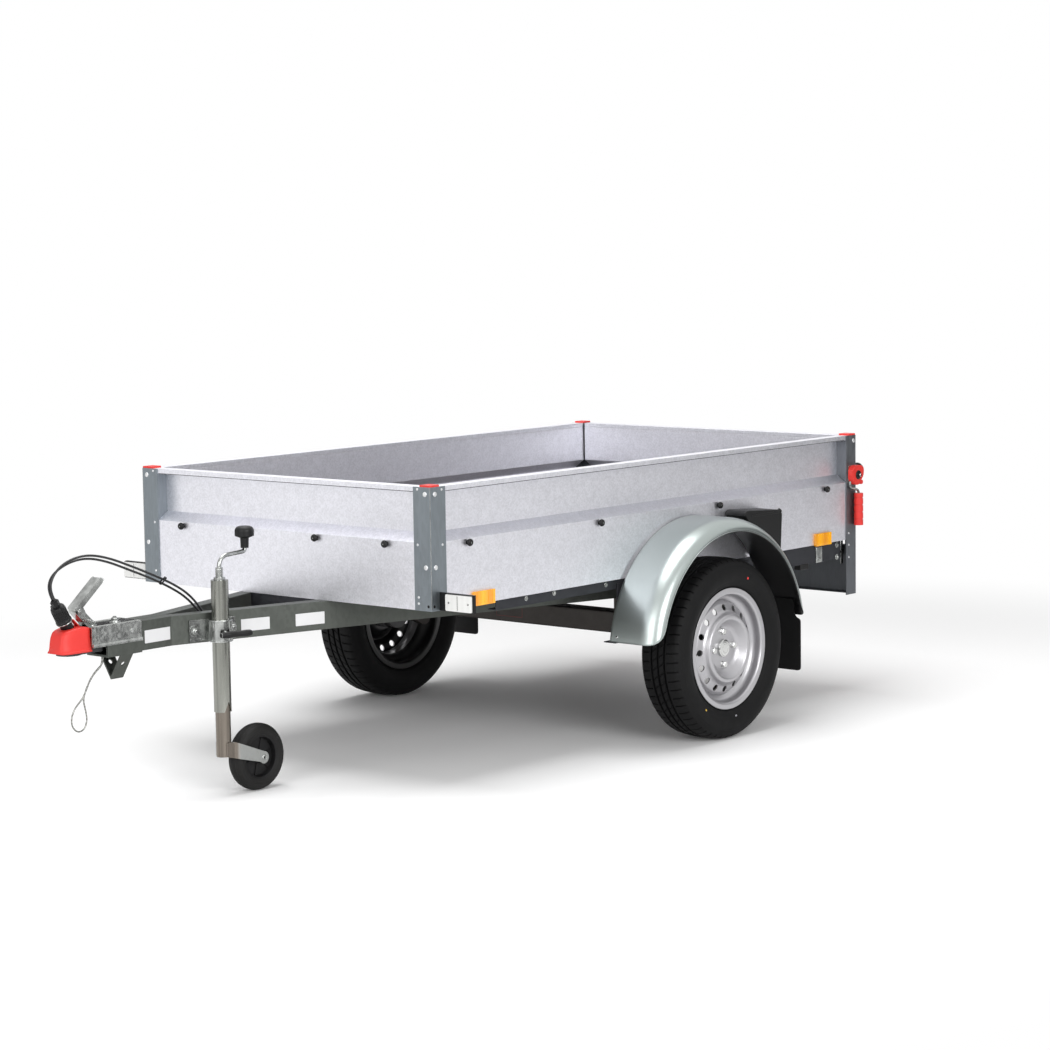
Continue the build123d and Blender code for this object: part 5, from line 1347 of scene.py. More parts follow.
class TRAILER_OT_plug(TrailerOperator, bpy.types.Operator):
    """Build the plug with its gland nut, ribbed body, lugs and parking ring"""

    bl_idname = "trailer.plug"
    bl_label = "Plug"

    def execute(self, context):
        at = lay(PLUG_TOP, (-sin(PLUG_TILT), 0, -cos(PLUG_TILT)), (0, 1, 0))
        bm = bmesh.new()
        turned(bm, PLUG_GLAND, at)
        slab(bm, hexagon(PLUG_NUT), at, top=19.0, edge=1.2, base=3.5)
        turned(bm, PLUG_NECK, at)
        grooves = []
        for i in range(PLUG_GROOVES):
            level = GROOVE_FIRST + GROOVE_PITCH * i
            grooves += [(radius, level + height) for radius, height in GROOVE_PROFILE]
        turned(bm, PLUG_SHOULDER + grooves + PLUG_SKIRT, at, 40)
        for turn in (0, 180):
            way = at @ Matrix.Rotation(radians(turn), 4, "Z") @ Matrix.Translation(LUG_AT)
            slab(bm, rounded(PLUG_LUG, radius=2.5), way, top=7.0, edge=1.5, base=-7.0)
        for i in range(GRIP_RIBS):
            turn = 2 * pi * (i + 0.5) / GRIP_RIBS
            x, y = GRIP_R * cos(turn), GRIP_R * sin(turn)
            rod(bm, [at @ Vector((x, y, depth)) for depth in RIB_SPAN], RIB_R, steps=5)
        place("plug_body", bm, "black", replaces=("plug",))
        bm = bmesh.new()
        turned(bm, PLUG_RING, at, 32)
        place("plug_ring", bm, "zinc")
        return {"FINISHED"}


# ---------------------------------------------------------------- drawbar
# x from, x to, z from, z to: blank labels on the left beam
LABELS = (
    (1100.0, 1192.0, 444.0, 479.0), (804.0, 893.0, 444.0, 478.0), (637.0, 729.0, 443.0, 477.0),
)
LABEL_T = 0.35
AXLE_LABEL = (-355.0, 0, 346.0)
LABEL_FRAME = ((106, 32), (102, 28))    # outer and inner edge of the axle label's printed frame
FRAME_RISE = 0.3
RAIL_FACE_Y = 556.0
# x, z, across flats, height: bolt heads on the side rails
RAIL_BOLTS = (
    (220.0, 495.0, 8.0, 3.0), (96.0, 496.0, 8.0, 3.0), (-140.0, 494.0, 8.0, 3.0),
    (-1337.0, 492.0, 10.0, 3.5), (-1337.0, 453.0, 10.0, 3.5),
)
# x, z, width, height, corner, thickness, broken edge: folded bracket under the rear reflector,
# and the strip beside the rear post
RAIL_PLATES = ((-1233.0, 471.0, 34, 50, 2, 3.0, 0.6), (-1363.5, 467.5, 13, 77, 1.5, 2.5, 0.5))
BRACKET_RIVET = (-1233.0, 559.0, 458.0)
STRIP_GROMMET = (-1360.0, 556.0, 468.0)
GROMMET_PROFILE = ((5.0, 2.4), (5.0, 3.2), (4.4, 4.4), (0, 4.6))
RAIL_BOX = (-1153.0, 546.0, 440.0)
RAIL_BOX_HALF_T = 12.0


class TRAILER_OT_drawbar(TrailerOperator, bpy.types.Operator):
    """Add the blank labels, the bolts on the rails and the bracket under the reflector"""

    bl_idname = "trailer.drawbar"
    bl_label = "Drawbar and rails"

    def execute(self, context):
        bm = bmesh.new()
        for x_from, x_to, z_from, z_to in LABELS:
            x = (x_from + x_to) / 2
            out, way = (BEAM_OUT, BEAM_WAY) if x < BEAM_BEND[0] else ((0, 1, 0), (1, 0, 0))
            face = lay((x, beam_y(x), (z_from + z_to) / 2), out, way)
            label = oblong(x_to - x_from, z_to - z_from, corner=1.5, steps=2)
            slab(bm, label, face, LABEL_T)
        place("blank_labels", bm, "label")
        bm = bmesh.new()
        mark = lay(AXLE_LABEL, (1, 0, 0), (0, 1, 0))
        bridge(bm, *[ring_at(bm, mark, oblong(*size), FRAME_RISE) for size in LABEL_FRAME])
        place("axle_label", bm, "dark label")
        bm = bmesh.new()
        for _, side in SIDES:
            for x, z, flats, height in RAIL_BOLTS:
                bolt(bm, outward(x, RAIL_FACE_Y, z, side), flats, height)
            for x, z, width, height, corner, thickness, edge in RAIL_PLATES:
                face = outward(x, RAIL_FACE_Y, z, side, (1, 0, 0))
                slab(bm, oblong(width, height, corner, 2), face, thickness, edge)
            turned(bm, rivet_head(diameter=9, height=3), outward(*BRACKET_RIVET, side))
        place("rail_bolts", bm, "zinc")
        bm = bmesh.new()
        for _, side in SIDES:
            turned(bm, GROMMET_PROFILE, outward(*STRIP_GROMMET, side))
            box = outward(*RAIL_BOX, side, (1, 0, 0))
            shape = oblong(46, 18, corner=3)
            slab(bm, shape, box, top=RAIL_BOX_HALF_T, edge=2.0, base=-RAIL_BOX_HALF_T)
        place("rail_grommets", bm, "black")
        return {"FINISHED"}


# ---------------------------------------------------------------- posts and walls
FRONT_FACE_X = 632.0            # faces of the posts
POST_FACE_Y = 571.0
WALL_FACE_X = 629.0             # faces of the walls between them
WALL_FACE_Y = 568.0
# y, z, large: heads on the front posts' front faces
FRONT_HEADS = (
    (552.4, 824.6, True), (552.2, 625.1, True), (525.0, 837.0, False), (523.3, 685.8, False),
    (523.7, 542.3, False), (523.3, 525.3, False),
)
# x, z, large: heads on the side faces of the front and rear posts
SIDE_HEADS = (
    (612.8, 824.5, True), (613.7, 625.0, True), (585.4, 835.5, False), (585.0, 685.1, False),
    (-1384.0, 527.0, False), (-1384.0, 489.0, False), (-1384.0, 449.0, False),
    (-1413.0, 826.0, True),
)
LARGE_HEAD = 2.2                # heights of the heads
SMALL_HEAD = 1.8
# black discs where the posts have holes: painted shade
DARK_HOLE = ((4.2, 0.1), (4.0, 0.3), (0, 0.3))
HOLE_FRONT = (558.7, 519.1)     # y and z on the post's front
HOLE_SIDE = (621.4, 518.8)      # x and z on its side
STOP_AT = (-1425.0, 548.0, 780.0)
STOP_PROFILE = ((9.5, 0), (9.5, 2.5), (8.2, 5.0), (5, 6.6), (0, 7))
KNOB_Z = 681.0
SIDE_KNOBS = (479.0, -98.5, -676.0, -1253.5)
FRONT_KNOBS = (-405.0, -137.0, 137.0, 405.0)
KNOB_PROFILE = (
    (6.6, 0), (6.6, 1.2), (4.6, 1.6), (4.6, 5.2), (8.0, 5.8), (10.2, 6.8), (10.6, 8.6),
    (10.2, 11.4), (8.6, 14.2), (6.0, 15.6), (3.6, 16.0), (2.8, 15.2), (0, 15.2),
)
KNOB_PIN = ((1.9, 15.1), (1.9, 15.7), (1.2, 15.9), (0, 16.0))
# a bright zinc line along each front post's corner: painted highlight
FOLD_IN = 1.0
FOLD_R = 1.25
FOLD_SPAN = (512.0, 842.0)
RAIL_SHADOW_Z = 829.4                  # painted shadow: a dark strip under the top rail
RAIL_SHADOW_HIGH = 1.5
RAIL_SHADOW_T = 0.3
RAIL_SHADOW_X = (-1366.0, 566.0)
RAIL_SHADOW_HALF_Y = 506.0


class TRAILER_OT_rivets(TrailerOperator, bpy.types.Operator):
    """Set the posts' rivets and stops, black discs of painted shade in their holes, bright fold
    lines of painted highlight, the lashing knobs and dark strips of painted shadow under the top
    rails
    """

    bl_idname = "trailer.rivets"
    bl_label = "Posts and walls"

    def execute(self, context):
        large = rivet_head(sizes().post_rivet / MM, LARGE_HEAD)
        small = rivet_head(sizes().small_rivet / MM, SMALL_HEAD)
        bm = bmesh.new()
        for _, side in SIDES:
            for y, z, big in FRONT_HEADS:
                turned(bm, large if big else small, lay((FRONT_FACE_X, side * y, z), (1, 0, 0)))
            for x, z, big in SIDE_HEADS:
                turned(bm, large if big else small, outward(x, POST_FACE_Y, z, side))
        place("post_rivets", bm, "rivet")
        bm = bmesh.new()
        for _, side in SIDES:
            # painted shade: a black disc in each hole of the post
            y, z = HOLE_FRONT
            turned(bm, DARK_HOLE, lay((FRONT_FACE_X, side * y, z), (1, 0, 0)))
            x, z = HOLE_SIDE
            turned(bm, DARK_HOLE, outward(x, POST_FACE_Y, z, side))
            x, y, z = STOP_AT
            turned(bm, STOP_PROFILE, lay((x, side * y, z), (-1, 0, 0)))
        place("post_stops_and_hole_shade", bm, "black")
        seats = [outward(x, WALL_FACE_Y, KNOB_Z, side) for x in SIDE_KNOBS for _, side in SIDES]
        seats += [lay((WALL_FACE_X, y, KNOB_Z), (1, 0, 0)) for y in FRONT_KNOBS]
        bm, pins = bmesh.new(), bmesh.new()
        for seat in seats:
            turned(bm, KNOB_PROFILE, seat, 20)
            turned(pins, KNOB_PIN, seat, 12)
        place("lashing_heads", bm, "black", replaces=("lash_knobs",))
        place("lashing_pins", pins, "zinc")
        bm = bmesh.new()
        for _, side in SIDES:
            # painted highlight: a bright zinc line where the post is folded round the corner
            x, y = FRONT_FACE_X - FOLD_IN, side * (POST_FACE_Y - FOLD_IN)
            rod(bm, [(x, y, z) for z in FOLD_SPAN], FOLD_R, 8)
        place("post_fold_highlights", bm, "zinc")
        # painted shadow: thin dark strips where the top rails overhang the walls
        middle = RAIL_SHADOW_Z + RAIL_SHADOW_HIGH / 2
        rail_shadows = [
            (outward(sum(RAIL_SHADOW_X) / 2, WALL_FACE_Y, middle, side, (1, 0, 0)), RAIL_SHADOW_X[1] - RAIL_SHADOW_X[0])
            for _, side in SIDES
        ]
        rail_shadows.append((lay((WALL_FACE_X, 0, middle), (1, 0, 0), (0, 1, 0)), 2 * RAIL_SHADOW_HALF_Y))
        bm = bmesh.new()
        for at, long in rail_shadows:
            slab(bm, oblong(long, RAIL_SHADOW_HIGH), at, top=RAIL_SHADOW_T, base=-RAIL_SHADOW_T)
        place("rail_shadow_strips", bm, "rail")
        return {"FINISHED"}


# ---------------------------------------------------------------- fenders, flaps and chocks
FENDER_R = 392.0
FENDER_T = 1.6
FENDER_IN = 575.0
FENDER_OUT = 743.8              # the hem stands out to 745
FENDER_ROLL = 60.0              # width of the rolled-down side
FENDER_LIP = 38.0               # how far that side drops
FENDER_CORNER = 62.0
FENDER_START = 8.5              # its lower ends, in degrees above the axle
ROLL_LENGTH = 77.5              # of the roll, measured round it
FENDER_FLAT = FENDER_OUT - FENDER_ROLL - FENDER_IN
FENDER_SPAN = FENDER_FLAT + ROLL_LENGTH
FENDER_COLUMNS = 26
FENDER_SHARP = 50.0
CORNER_ROWS = 8
ARCH_ROWS = 56
HEM_R = 2.1
HEM_SINK = 0.9
HEM_COLUMNS = 10
FENDER_RIVET = (600.0, 10.6)    # distance from the middle, degrees above the axle
FLAP_X = -893.5
FLAP_T = 4.0
FLAP_CORNER = 12.0
FLAP_SHAPE = ((602, 156), (722, 156), (722, 316), (704, 322), (698, 340), (698, 378), (602, 378))
FLAP_SCREWS = ((-893.9, 618.0, 352.0), (-893.9, 690.0, 352.0))
CHOCK_Y = 568.0
CHOCK_W = 78.0
CHOCK_SHAPE = ((-186, 654), (-204, 664), (-376, 652), (-386, 640), (-378, 516), (-316, 512))
CHOCK_CORNER = 10.0
CHOCK_EDGE = 5.0
PEG_AT = (-899.0, 640.0, 648.0)
PEG_WAY = (-0.5, 0.4, 0.6)
PEG_PROFILE = ((7.5, -6), (7.5, 2.0), (6.2, 4.4), (3.0, 5.6), (0, 5.8))
HOLDER_FOLD = (-815.0, 645.6, 645.0)


def fender_spot(side, turn, along):
    """Point of the fender's skin and its outward direction, `along` mm from the inner edge."""
    bend = max(0.0, along - FENDER_FLAT) / ROLL_LENGTH * pi / 2
    y = FENDER_IN + min(along, FENDER_FLAT) + FENDER_ROLL * sin(bend)
    r = FENDER_R - FENDER_LIP * (1 - cos(bend))
    out = Vector((sin(bend) / FENDER_ROLL, cos(bend) / FENDER_LIP)).normalized()
    at = Vector((AXLE_X + r * cos(turn), side * y, WHEEL_R + r * sin(turn)))
    return at, Vector((out.y * cos(turn), side * out.x, out.y * sin(turn)))


def fender_rows():
    """Turn round the wheel and skin width of each row, both lower corners rounded."""
    start = radians(FENDER_START)
    rows = []
    for i in range(CORNER_ROWS + 1):
        reach = FENDER_CORNER * (1 - cos(pi / 2 * i / CORNER_ROWS))
        missing = FENDER_CORNER - sqrt(FENDER_CORNER ** 2 - (FENDER_CORNER - reach) ** 2)
        rows.append((start + reach / FENDER_R, FENDER_SPAN - missing))
    first = rows[-1][0]
    arch = pi - 2 * first
    middle = [(first + arch * i / ARCH_ROWS, FENDER_SPAN) for i in range(1, ARCH_ROWS)]
    return rows + middle + [(pi - turn, width) for turn, width in rows[::-1]]


class TRAILER_OT_fenders(TrailerOperator, bpy.types.Operator):
    """Draw the fenders with their hems and rivets, the flaps with their screws, and the chocks"""

    bl_idname = "trailer.fenders"
    bl_label = "Fenders, flaps and chocks"

    def execute(self, context):
        rows = fender_rows()
        for name, side in SIDES:
            bm = bmesh.new()
            grid = []
            for turn, width in rows:
                spots = [
                    fender_spot(side, turn, width * k / FENDER_COLUMNS)[0]
                    for k in range(FENDER_COLUMNS + 1)
                ]
                grid.append([bm.verts.new(spot) for spot in spots])
            for low, high in zip(grid, grid[1:]):
                for k in range(FENDER_COLUMNS):
                    bm.faces.new((low[k], low[k + 1], high[k + 1], high[k]))
            skin = place(
                f"fender_skin_{name}", bm, "fender", replaces=(f"fender_{name}",),
                sharp=FENDER_SHARP,
            )
            thicken(skin, FENDER_T)
        bm = bmesh.new()
        turn, width = rows[0]
        end = [(turn, width * k / HEM_COLUMNS) for k in range(HEM_COLUMNS)]
        edge = end + rows + [(pi - turn, along) for turn, along in end[::-1]]
        for _, side in SIDES:
            spots = [fender_spot(side, turn, along) for turn, along in edge]
            rod(bm, [at - out * HEM_SINK for at, out in spots], HEM_R, 8)
        place("fender_hems", bm, "fender")
        bm = bmesh.new()
        for _, side in SIDES:
            flap = [(side * y, z) for y, z in rounded(FLAP_SHAPE, FLAP_CORNER)]
            slab(bm, flap, lay((FLAP_X, 0, 0), (1, 0, 0), (0, 1, 0)), FLAP_T)
        place("rubber_flaps", bm, "flap", replaces=("mud_flaps",))
        bm = bmesh.new()
        y, turn = FENDER_RIVET[0], radians(FENDER_RIVET[1])
        up, ahead = sin(turn), cos(turn)
        for _, side in SIDES:
            for way in (1, -1):
                seat = (AXLE_X + way * FENDER_R * ahead, side * y, WHEEL_R + FENDER_R * up)
                head = rivet_head(diameter=8.5, height=2.6)
                turned(bm, head, lay(seat, (way * ahead, 0, up)))
            for screw_x, screw_y, screw_z in FLAP_SCREWS:
                seat = lay((screw_x, side * screw_y, screw_z), (1, 0, 0))
                turned(bm, rivet_head(diameter=10.0, height=3.0), seat)
        place("fender_rivets", bm, "zinc")
        bm = bmesh.new()
        for _, side in SIDES:
            wedge = outward(AXLE_X, CHOCK_Y, 0, side, (1, 0, 0))
            # on the left side the drawing's second axis points down
            outline = [(x, side * -z) for x, z in CHOCK_SHAPE]
            slab(bm, rounded(outline, CHOCK_CORNER), wedge, CHOCK_W)
        chocks = place("moulded_chocks", bm, "black", replaces=("wheel_chocks",))
        soft = chocks.modifiers.new("Edge", "BEVEL")
        soft.width = CHOCK_EDGE * MM
        soft.segments = 3
        bm = bmesh.new()
        for _, side in SIDES:
            # holder's peg at the chock's upper rear corner, and the bracket's fold below
            spot, way = [(x, side * y, z) for x, y, z in (PEG_AT, PEG_WAY)]
            turned(bm, PEG_PROFILE, lay(spot, way), 16)
            fold = outward(*HOLDER_FOLD, side, (1, 0, 0))
            slab(bm, oblong(150, 6, corner=2), fold, top=1.4, edge=0.6)
        place("chock_pegs", bm, "black")
        return {"FINISHED"}


# ---------------------------------------------------------------- lamps
MARKER_X = 608.0
MARKER_Y = (598.0, 692.0)
MARKER_Z = (509.0, 554.0)
RIM_BACK = 9.0                  # of the lamp's rim, behind its face
LINE_BACK = 0.4                 # of the lens line and the screws' seats
# width over the lamp's, height above the foot, corner: section of the rim, outside to inside
RIM_LINES = ((5, 0, 5), (4, 6, 5), (1, 6, 4), (1, 0, 4))
LENS_LINE_AT = (-4, 0, 0)
SCREW_AT = 35.0                 # each way from the lamp's middle
SCREW_PROFILE = ((3.2, 0), (3.2, 0.8), (2.6, 1.4), (0, 1.2))
REFLECTORS = (418.0, -1236.0)
REFLECTOR_Y = 575.0
REFLECTOR_Z = 522.0
REFLECTOR_RIBS = (-32, -16, 0, 16, 32)
TURN_FIELD = (35.0, 62)         # in from the tail lamp's outer end, and width
REVERSE_FIELD = (172.0, 46)
FIELD_FRAME = 8                 # by how much the fields are lower than the lamp


class TRAILER_OT_lamps(TrailerOperator, bpy.types.Operator):
    """Add the lamps' rims, screws and lens lines, the reflector ribs and the tail lamp fields"""

    bl_idname = "trailer.lamps"
    bl_label = "Lamps"

    def execute(self, context):
        black, zinc, amber, white = bmesh.new(), bmesh.new(), bmesh.new(), bmesh.new()
        middle_y, middle_z = sum(MARKER_Y) / 2, sum(MARKER_Z) / 2
        width, height = MARKER_Y[1] - MARKER_Y[0], MARKER_Z[1] - MARKER_Z[0]
        low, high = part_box("tail_lamps")
        back, far, base, top = low[0] / MM, high[1] / MM, low[2] / MM, high[2] / MM
        for _, side in SIDES:
            foot = lay((MARKER_X - RIM_BACK, side * middle_y, middle_z), (1, 0, 0), (0, 1, 0))
            bridge_all(black, [
                ring_at(black, foot, oblong(width + over, height + over, corner), level)
                for over, level, corner in RIM_LINES
            ])
            front = lay((MARKER_X - LINE_BACK, side * middle_y, middle_z), (1, 0, 0), (0, 1, 0))
            line = front @ Matrix.Translation(LENS_LINE_AT)
            slab(black, oblong(1.6, height - 6, corner=0.6, steps=2), line, top=0.6)
            for end in (-SCREW_AT, SCREW_AT):
                turned(zinc, SCREW_PROFILE, front @ Matrix.Translation((end, 0, 0)), 14)
            for x in REFLECTORS:
                for along in REFLECTOR_RIBS:
                    rib = outward(x + along, REFLECTOR_Y, REFLECTOR_Z, side, (1, 0, 0))
                    slab(amber, oblong(2.0, 34.0, corner=0.8, steps=2), rib, top=0.9, edge=0.3)
            # tail lamp fields: turn lamp outside, reversing lamp inside
            for field, (inset, wide) in ((amber, TURN_FIELD), (white, REVERSE_FIELD)):
                spot = (back, side * (far - inset), (base + top) / 2)
                shape = oblong(wide, top - base - FIELD_FRAME, corner=6)
                face = lay(spot, (-1, 0, 0), (0, 1, 0))
                slab(field, shape, face, top=0.1, edge=0.1, base=-2.0)
        place("lamp_rims", black, "black")
        place("lamp_screws", zinc, "zinc")
        place("lamp_amber", amber, "amber")
        place("lamp_white", white, "white lens")
        return {"FINISHED"}


# ---------------------------------------------------------------- latches
LATCH_CENTRE = (-1408.0, 593.0, 716.0)
BOSS_PROFILE = ((15.0, -6.0), (15.0, 1.0), (12.5, 3.4), (7.5, 4.0), (7.0, 7.5), (0, 8.0))
BOSS_BOLT = ((5.6, 7.0), (5.6, 9.0), (4.2, 10.4), (0, 10.6))
LATCH_DISC = (-1449.0, 566.0, 728.0)
DISC_PROFILE = (
    (20.0, 0), (19.0, 0.9), (9.0, 1.1), (8.2, 0.4), (4.6, 0.4), (4.2, 2.6), (0, 3.0),
)
LATCH_TAB = (-1431.0, 583.0, 691.0)
TAB_SHAPE = ((-9, -5), (6, -9), (9, 0), (2, 8), (-8, 6))


class TRAILER_OT_latches(TrailerOperator, bpy.types.Operator):
    """Add the latches' centre bolts, bosses, discs and tabs"""

    bl_idname = "trailer.latches"
    bl_label = "Tailgate latches"

    def execute(self, context):
        zinc, black, red = bmesh.new(), bmesh.new(), bmesh.new()
        for _, side in SIDES:
            centre = outward(*LATCH_CENTRE, side)
            turned(black, BOSS_PROFILE, centre, 24)
            turned(zinc, BOSS_BOLT, centre, 16)
            x, y, z = LATCH_DISC
            turned(zinc, DISC_PROFILE, lay((x, side * y, z), (-1, 0, 0)), 28)
            tab = outward(*LATCH_TAB, side, (1, 0, 0))
            slab(red, rounded(TAB_SHAPE, radius=3), tab, top=8.0, edge=1.5, base=-6.0)
        place("latch_bolts", zinc, "zinc")
        place("latch_bosses", black, "black")
        place("latch_tabs", red, "red")
        return {"FINISHED"}


# ---------------------------------------------------------------- jockey wheel
TUBE_OFF = 34.0                 # tube's middle, out from the beam's face
CLAMP_X = 968.5                 # of the clamp's middle
TUBE_X = CLAMP_X + TUBE_OFF * BEAM_OUT.x
TUBE_Y = beam_y(CLAMP_X) + TUBE_OFF * BEAM_OUT.y
JOCKEY_X = TUBE_X - 122.0
JOCKEY_R = 93.0
# radius, offset from the middle plane: solid tyre with round shoulders and ribs
JOCKEY_SECTION = [
    (62.2, 21.0), (66.0, 22.4), (71.0, 23.6), (73.0, 23.6), (74.0, 24.5), (78.0, 24.8),
    (82.5, 22.6), (84.0, 22.4), (85.4, 21.2), (87.6, 18.6), (88.6, 17.0), (88.8, 15.6),
    (90.6, 14.0), (91.6, 11.2), (91.2, 10.2), (91.4, 9.2), (92.5, 7.6), (92.8, 4.6), (91.6, 3.8),
    (91.6, 2.8), (92.9, 2.0), (93.0, 0.0),
]
JOCKEY_SHARP = 30.0
SPOKES = 6
SPOKE_START = 15
SPOKE_SHAPE = ((17, -2.2), (53, -1.6), (53, 1.6), (17, 2.2))
SPOKE_OFF = 6.0                 # of the hub's web, each way from its middle
FORK_OFF = 32.0                 # outer face of the fork's arms
EYE_PROFILE = ((3.6, -2), (3.6, 1.6), (4.6, 2.6), (6.0, 2.4), (7.4, 1.0), (7.6, 0))
# black disc over the rivet's bore: painted shade
EYE_BORE = ((3.7, 0.2), (0, 0.2))
# number of beads, radius, then its first bead from the tube's middle and the floor: the upright
# weld and the short one over it
WELD_UP = (13, 2.2, 6.6, 20.6, 113.5)
WELD_OVER = (7, 2.0, -11.0, 21.4, 150.2)
WELD_PITCH = 3.0
WELD_WAVE = 0.5
CLAMP_BOLTS = (-48.0, 66.0)     # along the beam, from the clamp's middle
CLAMP_BOLT_Z = 460.0
CLAMP_PLATE_T = 6.0
CLAMP_BOLT_END = ((5.0, 9), (5.0, 15), (4.2, 16), (0, 16))
COLLAR_Z = 598.0
COLLAR_THREADS = 5
THREAD_FIRST = 10.0
THREAD_PITCH = 4.6
THREAD_PROFILE = ((9.9, -1.4), (10.9, -0.6), (10.9, 0.6), (9.9, 1.4))
COLLAR_PROFILE = ((15.6, 5.9), (14.8, 7.2), (11.4, 7.6), (9.9, 7.6))
BAND_LEVELS = (432.0, 488.0)
BAND_PROFILE = ((31.5, -1.6), (33.0, -1.0), (33.4, 0.0), (33.0, 1.0), (31.5, 1.6))
GRIP_OFF = TUBE_OFF + 32.0 + 24.0       # out from the beam's face, past the tube and the clamp
GRIP_Z = 454.0
GRIP_PROFILE = (
    (0, -66), (6.2, -65), (8.6, -61), (9.2, -50), (8.6, -36), (8.2, -20), (8.6, -8), (9.4, -2),
    (9.4, 6), (8.6, 10), (8.2, 16), (8.0, 24), (6.0, 29.5), (0, 30.5),
)


class TRAILER_OT_jockey(TrailerOperator, bpy.types.Operator):
    """Build the jockey wheel's tyre and add the fork's rivet, the weld and the clamp's fittings"""

    bl_idname = "trailer.jockey"
    bl_label = "Jockey wheel"

    def execute(self, context):
        section = JOCKEY_SECTION + [(r, -w) for r, w in JOCKEY_SECTION[-2::-1]]
        bm = bmesh.new()
        turned(bm, section + section[:1], lay((JOCKEY_X, TUBE_Y, JOCKEY_R), (0, 1, 0)), 96)
        place(
            "jockey_tread", bm, "jockey rubber", "jockey_wheel", ("jockey_tyre",), JOCKEY_SHARP
        )
        bm = bmesh.new()
        for side in (1, -1):
            # spokes of the hub, each side of its web
            hub = lay((JOCKEY_X, TUBE_Y + side * SPOKE_OFF, JOCKEY_R), (0, side, 0))
            for i in range(SPOKES):
                turn = radians(360 / SPOKES * i + SPOKE_START)
                spoke = hub @ Matrix.Rotation(turn, 4, "Z")
                slab(bm, SPOKE_SHAPE, spoke, top=3.2, edge=1.0, base=-1.0)
        place("jockey_spokes", bm, "jockey hub", "jockey_wheel")
        bm, bore_shade = bmesh.new(), bmesh.new()
        for side in (1, -1):
            eye = lay((JOCKEY_X, TUBE_Y + side * FORK_OFF, JOCKEY_R), (0, side, 0))
            turned(bm, EYE_PROFILE, eye, 24)
            # painted shade: a black disc in the rivet's bore
            turned(bore_shade, EYE_BORE, eye, 16)
        place("fork_rivets", bm, "zinc", "jockey_fork")
        place("fork_rivet_bore_shade", bore_shade, "black", "jockey_fork")
        bm = bmesh.new()
        for side in (1, -1):
            beads, radius, x, y, z = WELD_UP
            waves = [WELD_WAVE * (i % 2) for i in range(beads)]
            rod(bm, [
                (TUBE_X + x + wave, TUBE_Y + side * (y + wave), z + WELD_PITCH * i)
                for i, wave in enumerate(waves)
            ], radius, 8)
            beads, radius, x, y, z = WELD_OVER
            rod(bm, [
                (TUBE_X + x + WELD_PITCH * i, TUBE_Y + side * (y - wave), z)
                for i, wave in enumerate(waves[:beads])
            ], radius, 8)
        place("fork_welds", bm, "leg", "jockey_fork")
        # clamp: bolts through its plate, the collar's thread and the bands round its edges
        bm = bmesh.new()
        face = Vector((CLAMP_X, beam_y(CLAMP_X), 0))
        for along in CLAMP_BOLTS:
            seat = face + BEAM_WAY * along + BEAM_OUT * CLAMP_PLATE_T
            seat.z = CLAMP_BOLT_Z
            bolt(bm, lay(seat, BEAM_OUT), across_flats=17.0, height=8.0)
            turned(bm, CLAMP_BOLT_END, lay(seat, BEAM_OUT), 14)
        collar = lay((TUBE_X, TUBE_Y, COLLAR_Z), (0, 0, 1))
        for i in range(COLLAR_THREADS):
            level = THREAD_FIRST + THREAD_PITCH * i
            thread = [(radius, level + height) for radius, height in THREAD_PROFILE]
            turned(bm, thread, collar, 24)
        turned(bm, COLLAR_PROFILE, collar, 28)
        for level in BAND_LEVELS:
            turned(bm, BAND_PROFILE, lay((TUBE_X, TUBE_Y, level), (0, 0, 1)), 40)
        place("clamp_fittings", bm, "zinc")
        bm = bmesh.new()
        root = face + BEAM_OUT * GRIP_OFF
        root.z = GRIP_Z
        turned(bm, GRIP_PROFILE, lay(root, BEAM_WAY), 20)
        place("clamp_grip", bm, "black")
        return {"FINISHED"}


# ---------------------------------------------------------------- rear end
PLATE_SCREWS = (-170.0, 170.0)


class TRAILER_OT_rear(TrailerOperator, bpy.types.Operator):
    """Add the number plate's screws"""

    bl_idname = "trailer.rear"
    bl_label = "Rear end"

    def execute(self, context):
        low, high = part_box("number_plate")
        bm = bmesh.new()
        for y in PLATE_SCREWS:
            seat = lay((low[0] / MM, y, (low[2] + high[2]) / 2 / MM), (-1, 0, 0))
            turned(bm, rivet_head(diameter=9.0, height=2.4), seat)
        place("plate_screws", bm, "zinc")
        return {"FINISHED"}


# ---------------------------------------------------------------- stage
SKY_FILL = 0.45                 # light of the room on everything but the background
# name, place, what it points at, size, power: overhead light, then the side and front fills
LAMPS = (
    ("Overhead", (0.3, -0.3, 4.6), (0.3, 0.0, 0.0), 3.6, 160.0),
    ("Side", (2.4, 6.5, 2.8), (0.3, 0.5, 0.4), 3.6, 235.0),
    ("Front", (7.5, 1.5, 2.8), (0.6, 0.0, 0.4), 4.0, 160.0),
)
# grey cards that only reflections show, so that the metal has a tone: three corners each
CARDS = (
    ((-5.6, 0.6, 0.01), (-4.2, 4.0, 0.01), (-5.6, 0.6, 2.2)),
    ((-3.0, -4.6, 0.01), (2.6, -4.6, 0.01), (-3.0, -4.6, 2.6)),
    ((-1.4, 2.1, 0.012), (1.8, 2.1, 0.012), (-1.4, 4.8, 0.012)),
)
# three corners of the floor
FLOOR = (((-30.0, -30.0, 0.0), (30.0, -30.0, 0.0), (-30.0, 30.0, 0.0)),)
FLOOR_NEAR = 1.9                # the floor shows its shadow inside this reach, in metres
FLOOR_FAR = 3.2                 # and is plain white beyond this one
FLOOR_STRETCH = 0.75
STUDIO_MATT = 0.9


def seen_directly(tree):
    """1 where a ray comes from the camera, a reflection or a clear lens, 0 for bounced light."""
    path = put(tree, "ShaderNodeLightPath").outputs
    seen = path["Is Camera Ray"]
    for kind in ("Is Glossy Ray", "Is Transmission Ray"):
        seen = put(
            tree, "ShaderNodeMath", {0: seen, 1: path[kind]}, operation="MAXIMUM"
        ).outputs[0]
    return seen


